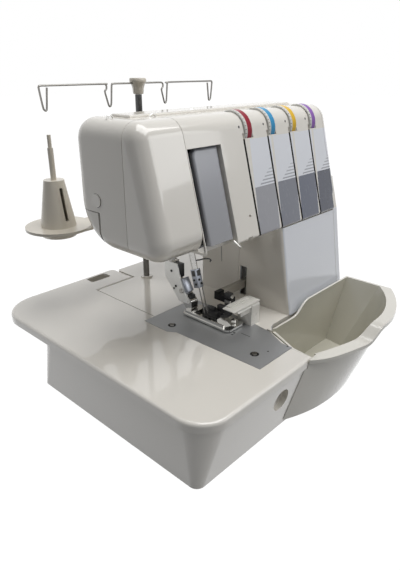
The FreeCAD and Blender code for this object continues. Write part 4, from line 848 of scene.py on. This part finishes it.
SCREWS = {
    "plate_screws": ("base", wire_metal, [((x, y, PLATE_TOP), UP, 3.3) for x, y in PLATE_SCREWS]),
    "rear_screws": ("base", dark_metal, [((x, REAR_Y, z), BACK, 3.2) for x, z in REAR_SPOTS]),
    "clamp_screws": ("needle", dark_metal, [
        (on_bar(-1.2, -4.4, 3.5), BAR_FRONT, 1.5), (on_bar(1.2, -4.4, -1.5), BAR_FRONT, 1.5),
        (on_bar(-4.0, 0.8, 3.5), LEFT, 1.4), (on_bar(-4.0, -0.8, -1.5), LEFT, 1.4)]),
    "ankle_screws": ("presser", dark_metal, [
        ((146.7, 188.4, 120.2), LEFT, 1.5), ((146.7, 181.1, 102.3), LEFT, 1.5),
        ((146.7, 184.4, 98.5), LEFT, 1.3)]),
    "ankle_clamp_screw": ("presser", steel, [((146.5, 171.7, 98.6), LEFT, 3.0)]),
    "knife_screw": ("knife", steel, [((177.5, 118.8, 97.0), FRONT, 2.4)]),
}
for name, (body, finish, spots) in SCREWS.items():
    grow(name, screws, screw_points(spots), {"Seed": 4, "Slot Width": 0.42, "Finish": finish}, body)

# %% [markdown]
# The handwheel has grip ribs, and the stitch length dial turns before a scale. Both are bars round a circle,
# so a second tree puts a bar on each point of a Mesh Circle and stands the circle up across the machine.

# %% Geometry Nodes: bars round a circle
ring, r_in, r_out = grow_tree("bars_round_circle", [
    ("Start", "NodeSocketGeometry", None), ("Count", "NodeSocketInt", 24),
    ("Radius", "NodeSocketFloat", 0.03), ("Bar", "NodeSocketVector", (0.002, 0.002, 0.01)),
    ("Middle", "NodeSocketVector", (0, 0, 0)), ("Finish", "NodeSocketMaterial", None)])
circle = ring.nodes.new("GeometryNodeMeshCircle")
ring.links.new(r_in.outputs["Count"], circle.inputs["Vertices"])
ring.links.new(r_in.outputs["Radius"], circle.inputs["Radius"])
bar = ring.nodes.new("GeometryNodeMeshCube")
ring.links.new(r_in.outputs["Bar"], bar.inputs["Size"])
outward = ring.nodes.new("FunctionNodeAlignRotationToVector")
outward.axis = "X"
ring.links.new(ring.nodes.new("GeometryNodeInputPosition").outputs[0], outward.inputs["Vector"])
placed = ring.nodes.new("GeometryNodeInstanceOnPoints")
ring.links.new(circle.outputs["Mesh"], placed.inputs["Points"])
ring.links.new(bar.outputs["Mesh"], placed.inputs["Instance"])
ring.links.new(outward.outputs[0], placed.inputs["Rotation"])
stood = ring.nodes.new("GeometryNodeTransform")
stood.inputs["Rotation"].default_value = Euler((0, math.pi / 2, 0))
ring.links.new(placed.outputs["Instances"], stood.inputs["Geometry"])
ring.links.new(r_in.outputs["Middle"], stood.inputs["Translation"])
end_grow(ring, r_in, stood.outputs["Geometry"], r_out)

RINGS = {
    "handwheel_ribs": ("shaft", "shell", cream, 40, 35.9, (1.2, 2.2, 10.0), (367.0, 170.0, 42.0)),
    "stitch_scale": ("base", "black_plastic", black, 12, 17.0, (2.6, 0.8, 0.3), (355.05, 110.0, 118.0)),
}
for name, (body, slot, finish, number, radius, bar_size, middle) in RINGS.items():
    settings = {
        "Count": number, "Radius": radius * MM, "Bar": [v * MM for v in bar_size],
        "Middle": list(at(*middle)), "Finish": finish}
    grow(name, ring, bpy.data.meshes.new(name + "_start"), settings, body)

# %% [markdown]
# The other small parts occur once, so mesh code draws them. Most are blocks, and a real block never has a
# sharp edge, so each slab's edges are bevelled. A wire could be a curve with a bevel, but here a ring of
# points moves along a path, so that wires and blocks can share one mesh.

# %% Slabs and wires
def slab(bm, low, high, broken=0.4, turn=None):
    """A box in millimetres with its edges broken; turn is a matrix about the box's middle."""
    middle = at(*[(a + b) / 2 for a, b in zip(low, high)])
    spread = Matrix.Diagonal([(b - a) * MM for a, b in zip(low, high)] + [1])
    place = Matrix.Translation(middle) @ (turn or Matrix.Identity(4)) @ spread
    made = bmesh.ops.create_cube(bm, size=1, matrix=place)
    edges = list({edge for vert in made["verts"] for edge in vert.link_edges})
    bmesh.ops.bevel(bm, geom=edges, offset=broken * MM, segments=2, affect="EDGES", profile=0.5)


def wire(bm, points, radius, sides=10):
    """A round wire through points in millimetres."""
    path = [at(*p) for p in points]
    rings = []
    side = None
    for i, p in enumerate(path):
        along = (path[min(i + 1, len(path) - 1)] - path[max(i - 1, 0)]).normalized()
        if side is None:
            side = along.orthogonal().normalized()
        side = (side - along * side.dot(along)).normalized()
        across = along.cross(side)
        loop = []
        for k in range(sides):
            angle = 2 * math.pi * k / sides
            reach = side * math.cos(angle) + across * math.sin(angle)
            loop.append(bm.verts.new(p + reach * radius * MM))
        rings.append(loop)
    for a, b in zip(rings, rings[1:]):
        for k in range(sides):
            bm.faces.new((a[k], a[(k + 1) % sides], b[(k + 1) % sides], b[k]))
    bm.faces.new(rings[0][::-1])
    bm.faces.new(rings[-1])


def drawn(name, bm, finish, body):
    """Turn a drawing into a piece with smooth faces and sharp edges."""
    bmesh.ops.recalc_face_normals(bm, faces=bm.faces)
    mesh = bpy.data.meshes.new(name)
    bm.to_mesh(mesh)
    bm.free()
    mesh.materials.append(finish)
    for polygon in mesh.polygons:
        polygon.use_smooth = True
    mesh.set_sharp_from_angle(angle=math.radians(40))
    print(name, len(mesh.polygons), "faces on", body)
    return plain_piece(name, mesh, body)


print("drawing helpers ready")

# %% [markdown]
# The ankle joins the foot to its bar. Beside it stands a flat cast plate, and behind that a slot, drawn as
# black slabs of painted shade, and a leaning satin block. The plate could be cut from a slab, but all its
# edges are straight, so it is one outline with a thickness.

# %% Ankle
ANKLE_OUTLINE = [(200, 131), (179, 131), (176, 118), (167, 98), (161, 85), (176, 84), (190, 100), (200, 111)]
ANKLE_X = (146.9, 148.6)
bm = bmesh.new()
near, far = [[bm.verts.new(at(x, y, z)) for y, z in ANKLE_OUTLINE] for x in ANKLE_X]
bm.faces.new(near)
bm.faces.new(far[::-1])
for i in range(len(ANKLE_OUTLINE)):
    k = (i + 1) % len(ANKLE_OUTLINE)
    bm.faces.new((near[i], near[k], far[k], far[i]))
drawn("ankle_plate", bm, cast, "presser")
bm = bmesh.new()
# Painted shade: black slabs fill the slot behind the plate.
slab(bm, (148.8, 177.0, 113.0), (157.6, 187.6, 130.0), 0.5)
slab(bm, (150.0, 159.0, 86.0), (157.4, 167.0, 95.0), 0.5)
drawn("ankle_slot_shade", bm, black, "presser")
bm = bmesh.new()
slope = Matrix.Rotation(math.radians(-30), 4, "X")
slab(bm, (148.8, 166.0, 95.0), (158.6, 177.0, 113.0), 0.8, slope)
drawn("ankle_block", bm, satin, "presser")

# %% [markdown]
# The needle clamp is a narrow satin block with a window on two sides, drawn as thin black sheets of painted
# shade, and a bent wire leads the thread to it. The block stands for the wider one of the frame, which hides
# too much of the needles.

# %% Needle clamp
def block(bm, middle, half, broken, turn):
    """A slab given by its middle and half its size."""
    low = [m - h for m, h in zip(middle, half)]
    high = [m + h for m, h in zip(middle, half)]
    slab(bm, low, high, broken, turn)


lean = Matrix.Rotation(-LEAN, 4, "X")
bm = bmesh.new()
block(bm, on_bar(0, -0.1, 5.0), (4.0, 4.3, 11.0), 0.6, lean)
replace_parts(drawn("clamp_block", bm, satin, "needle"), "needle_clamp")
bm = bmesh.new()
# Painted shade: thin black sheets stand for the clamp's windows.
for middle, half in ((on_bar(-3.9, 0, 11.4), (0.4, 2.7, 3.4)), (on_bar(0, -4.3, 11.4), (2.7, 0.4, 3.4))):
    block(bm, middle, half, 0.2, lean)
wire(bm, [
    (149, 150.6, 142.5), (152, 147.5, 143), (158, 144, 144), (163, 141.5, 143), (165, 141, 140.5),
    (164, 142, 139)], 0.8)
drawn("clamp_window_shade_and_wire", bm, black, "needle")

# %% [markdown]
# Black blocks hold the toe of the foot and the upper knife, and a thin wire hangs from the head. They could
# be shaped more, but they are half hidden, so plain slabs are enough.

# %% Bracket, knife post and hanging wire
bm = bmesh.new()
slab(bm, (158.5, 126.0, 73.2), (171.0, 149.0, 79.5), 0.6)
slab(bm, (166.0, 112.0, 78.6), (172.4, 132.0, 86.5), 0.8)
slab(bm, (160.0, 132.0, 79.0), (165.0, 140.0, 84.0), 0.6)
drawn("foot_bracket", bm, black, "presser")
bm = bmesh.new()
slab(bm, (174.2, 119.4, 94.0), (181.0, 127.6, 101.0), 0.6)
drawn("knife_post", bm, black, "knife")
bm = bmesh.new()
wire(bm, [(176, 136, 177), (176, 136, 170), (176.3, 135, 150), (176.6, 134.6, 138)], 0.35, 6)
drawn("hanging_wire", bm, dark_metal, "base")

# %% [markdown]
# The knife guard keeps fingers off the blade. Its thin top plate has a raised step at the back and two ribs,
# and a short panel closes its front. They are added to the frame's folded plate, which carries them.

# %% Guard top
GUARD_Z = 97.0
bm = bmesh.new()
slab(bm, (145.0, 88.4, GUARD_Z), (192.4, 105.6, GUARD_Z + 1.2), 0.4)
slab(bm, (151.0, 99.6, GUARD_Z + 1.1), (187.0, 105.4, GUARD_Z + 2.6), 0.4)
for y in (91.6, 94.6):
    slab(bm, (149.0, y, GUARD_Z + 1.1), (190.4, y + 0.8, GUARD_Z + 1.7), 0.2)
slab(bm, (158.0, 89.4, 87.5), (178.0, 90.6, GUARD_Z + 0.2), 0.3)
drawn("guard_top", bm, guard_white, "base")

# %% [markdown]
# The take-up cover fills the recess with rounded edges and a round upper left corner. It could be a bevelled
# box, but each edge has its own radius, so the face is a grid whose depth comes from a formula.

# %% Shape of the take-up cover
COVER_X = (108.0, 145.4)
COVER_Z = (183.2, 274.6)
COVER_CORNER = 9.0
COVER_FACE, COVER_CUT, COVER_BACK = 2.6, 11.4, 11.7


def rounded(past, radius):
    """How far a rounded edge falls back, a distance past its start."""
    past = min(max(past, 0.0), radius)
    return radius - math.sqrt(radius * radius - past * past)


def cover_depth(x, z):
    """How far the take-up cover lies behind the front of the head."""
    corner = math.hypot(
        min(x - COVER_X[0] - COVER_CORNER, 0.0), max(z - COVER_Z[1] + COVER_CORNER, 0.0))
    if corner > COVER_CORNER + 0.3:
        return COVER_CUT
    return COVER_FACE + max(
        rounded(COVER_X[0] + 2.0 - x, 2.0), rounded(x - COVER_X[1] + 4.0, 4.0),
        rounded(z - COVER_Z[1] + 4.0, 4.0), rounded(corner - COVER_CORNER + 3.0, 3.0))


print("cover depth in its middle", cover_depth(sum(COVER_X) / 2, sum(COVER_Z) / 2), "mm")

# %% [markdown]
# The grid is drawn twice, as a face and as a flat back, and the two are joined along their rims.

# %% Take-up cover
COLUMNS, ROWS = 48, 112


def front_at(x, z, depth):
    return at(x, FRONT_Y + FRONT_LEAN * (z - FRONT_Z) + depth, z)


bm = bmesh.new()
across = [COVER_X[0] + (COVER_X[1] - COVER_X[0]) * i / COLUMNS for i in range(COLUMNS + 1)]
upward = [COVER_Z[0] + (COVER_Z[1] - COVER_Z[0]) * j / ROWS for j in range(ROWS + 1)]
front = [[bm.verts.new(front_at(x, z, cover_depth(x, z))) for x in across] for z in upward]
rear = [[bm.verts.new(front_at(x, z, COVER_BACK)) for x in across] for z in upward]
for j in range(ROWS):
    for i in range(COLUMNS):
        bm.faces.new((front[j][i], front[j][i + 1], front[j + 1][i + 1], front[j + 1][i]))
        bm.faces.new((rear[j][i], rear[j + 1][i], rear[j + 1][i + 1], rear[j][i + 1]))
for i in range(COLUMNS):
    for j in (0, ROWS):
        bm.faces.new((front[j][i], front[j][i + 1], rear[j][i + 1], rear[j][i]))
for j in range(ROWS):
    for i in (0, COLUMNS):
        bm.faces.new((front[j][i], front[j + 1][i], rear[j + 1][i], rear[j][i]))
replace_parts(drawn("take_up_shell", bm, smoke, "base"), "take_up_cover")

# %% [markdown]
# The thread tree is bent from one wire on each side. An inner eye has a curl on its left leg that keeps the
# thread in, and the outer eye is a hairpin. A few points give each bend, and a smooth curve through them
# gives the spring of real wire.

# %% Thread tree
TREE_X, TREE_Y, TREE_Z = 194.0, 290.0, 327.0
INNER_AT, OUTER_AT = 45.0, 131.0
WIRE_R = 1.1
INNER_EYE = [
    (7, 0), (5, -1), (4.2, -4), (2.6, -20), (1.5, -24), (0, -25), (-1.6, -23.6), (-3.6, -17), (-5.6, -10),
    (-5.6, -7.6), (-3.6, -5.6), (-3.2, -2.6), (-4.6, -0.6), (-8, 0)]
OUTER_EYE = [
    (9, 0), (-3, 0), (-5, -1.2), (-5.1, -4), (-2.8, -21), (-1.4, -24.4), (0.4, -25), (1.7, -22.6), (3.6, -8),
    (4.4, -2)]


def smooth(points, steps=5):
    """Points of a curve that passes through the given ones."""
    ends = [points[0]] + list(points) + [points[-1]]
    found = []
    for a, b, c, d in zip(ends, ends[1:], ends[2:], ends[3:]):
        for i in range(steps):
            t = i / steps
            found.append(tuple(
                0.5 * (2 * q + (r - p) * t + (2 * p - 5 * q + 4 * r - s) * t * t
                       + (3 * q - p - 3 * r + s) * t ** 3)
                for p, q, r, s in zip(a, b, c, d)))
    return found + [points[-1]]


def eye(shape, middle, turn=1):
    return [(middle + turn * a, TREE_Y, TREE_Z + b) for a, b in shape]


bm = bmesh.new()
for side in (-1, 1):
    start = [(TREE_X + side * reach, TREE_Y, TREE_Z) for reach in (4, 20)]
    inner = eye(INNER_EYE, TREE_X + side * INNER_AT)[::-side]
    outer = eye(OUTER_EYE, TREE_X + side * OUTER_AT, -side)
    wire(bm, smooth(start + inner + outer), WIRE_R)
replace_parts(drawn("tree_wires", bm, wire_metal, "tree"), "tree_guide_wires")

# %% [markdown]
# A flared cap holds both wires on the rod. A lathe would turn it, and so does this loop: each pair of the
# profile is a radius and a height. Fine flutes give the fingers a grip.

# %% Flared cap
CAP_PROFILE = [
    (0, 314.4), (6.0, 314.4), (6.5, 315.2), (6.5, 321), (7.2, 324), (9.6, 327.4), (10.4, 328.6),
    (10.4, 331.6), (9.6, 332.8), (0, 333)]
CAP_SIDES = 40
FLUTE, FLUTE_EVERY, FLUTE_Z = 0.5, 5, (316, 326)
bm = bmesh.new()
loops = []
for radius, height in CAP_PROFILE:
    loop = []
    for k in range(CAP_SIDES if radius else 1):
        angle = 2 * math.pi * k / CAP_SIDES
        fluted = k % FLUTE_EVERY == 0 and FLUTE_Z[0] < height < FLUTE_Z[1]
        reach = radius + (FLUTE if fluted else 0.0)
        place = at(TREE_X + reach * math.cos(angle), TREE_Y + reach * math.sin(angle), height)
        loop.append(bm.verts.new(place))
    loops.append(loop)
for low, high in zip(loops, loops[1:]):
    for k in range(CAP_SIDES):
        nearby = [low[k % len(low)], low[(k + 1) % len(low)], high[(k + 1) % len(high)], high[k % len(high)]]
        bm.faces.new(list(dict.fromkeys(nearby)))
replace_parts(drawn("flared_cap", bm, beige, "tree"), "tree_cap")

# %% [markdown]
# Small thread guides of bright wire stand on the top cover, and one hooks out under the front panel. They
# could be drawn point by point, but three of them are the same arch, so one formula bends them all.

# %% Thread guides
TOP_Z = 301.4
ARCHES = [((52, 170), (61, 170)), ((88, 152), (97, 152)), ((154, 167), (170, 166))]
ARCH_RISE, ARCH_STEPS = 3.2, 12


def arch(start, end):
    """Points of a half loop over the line from start to end."""
    points = []
    for i in range(ARCH_STEPS + 1):
        t = i / ARCH_STEPS
        points.append((
            start[0] + (end[0] - start[0]) * t,
            start[1] + (end[1] - start[1]) * t,
            TOP_Z + ARCH_RISE * math.sin(math.pi * t)))
    return points


bm = bmesh.new()
wire(bm, [
    (143, 90, 181), (143.4, 86, 178.5), (145.2, 84, 175.6), (148, 84.5, 174.4), (149.5, 87, 175),
    (149.5, 91, 177)], 0.9)
for start, end in ARCHES:
    wire(bm, arch(start, end), 0.7)
drawn("thread_guides", bm, chrome, "base")
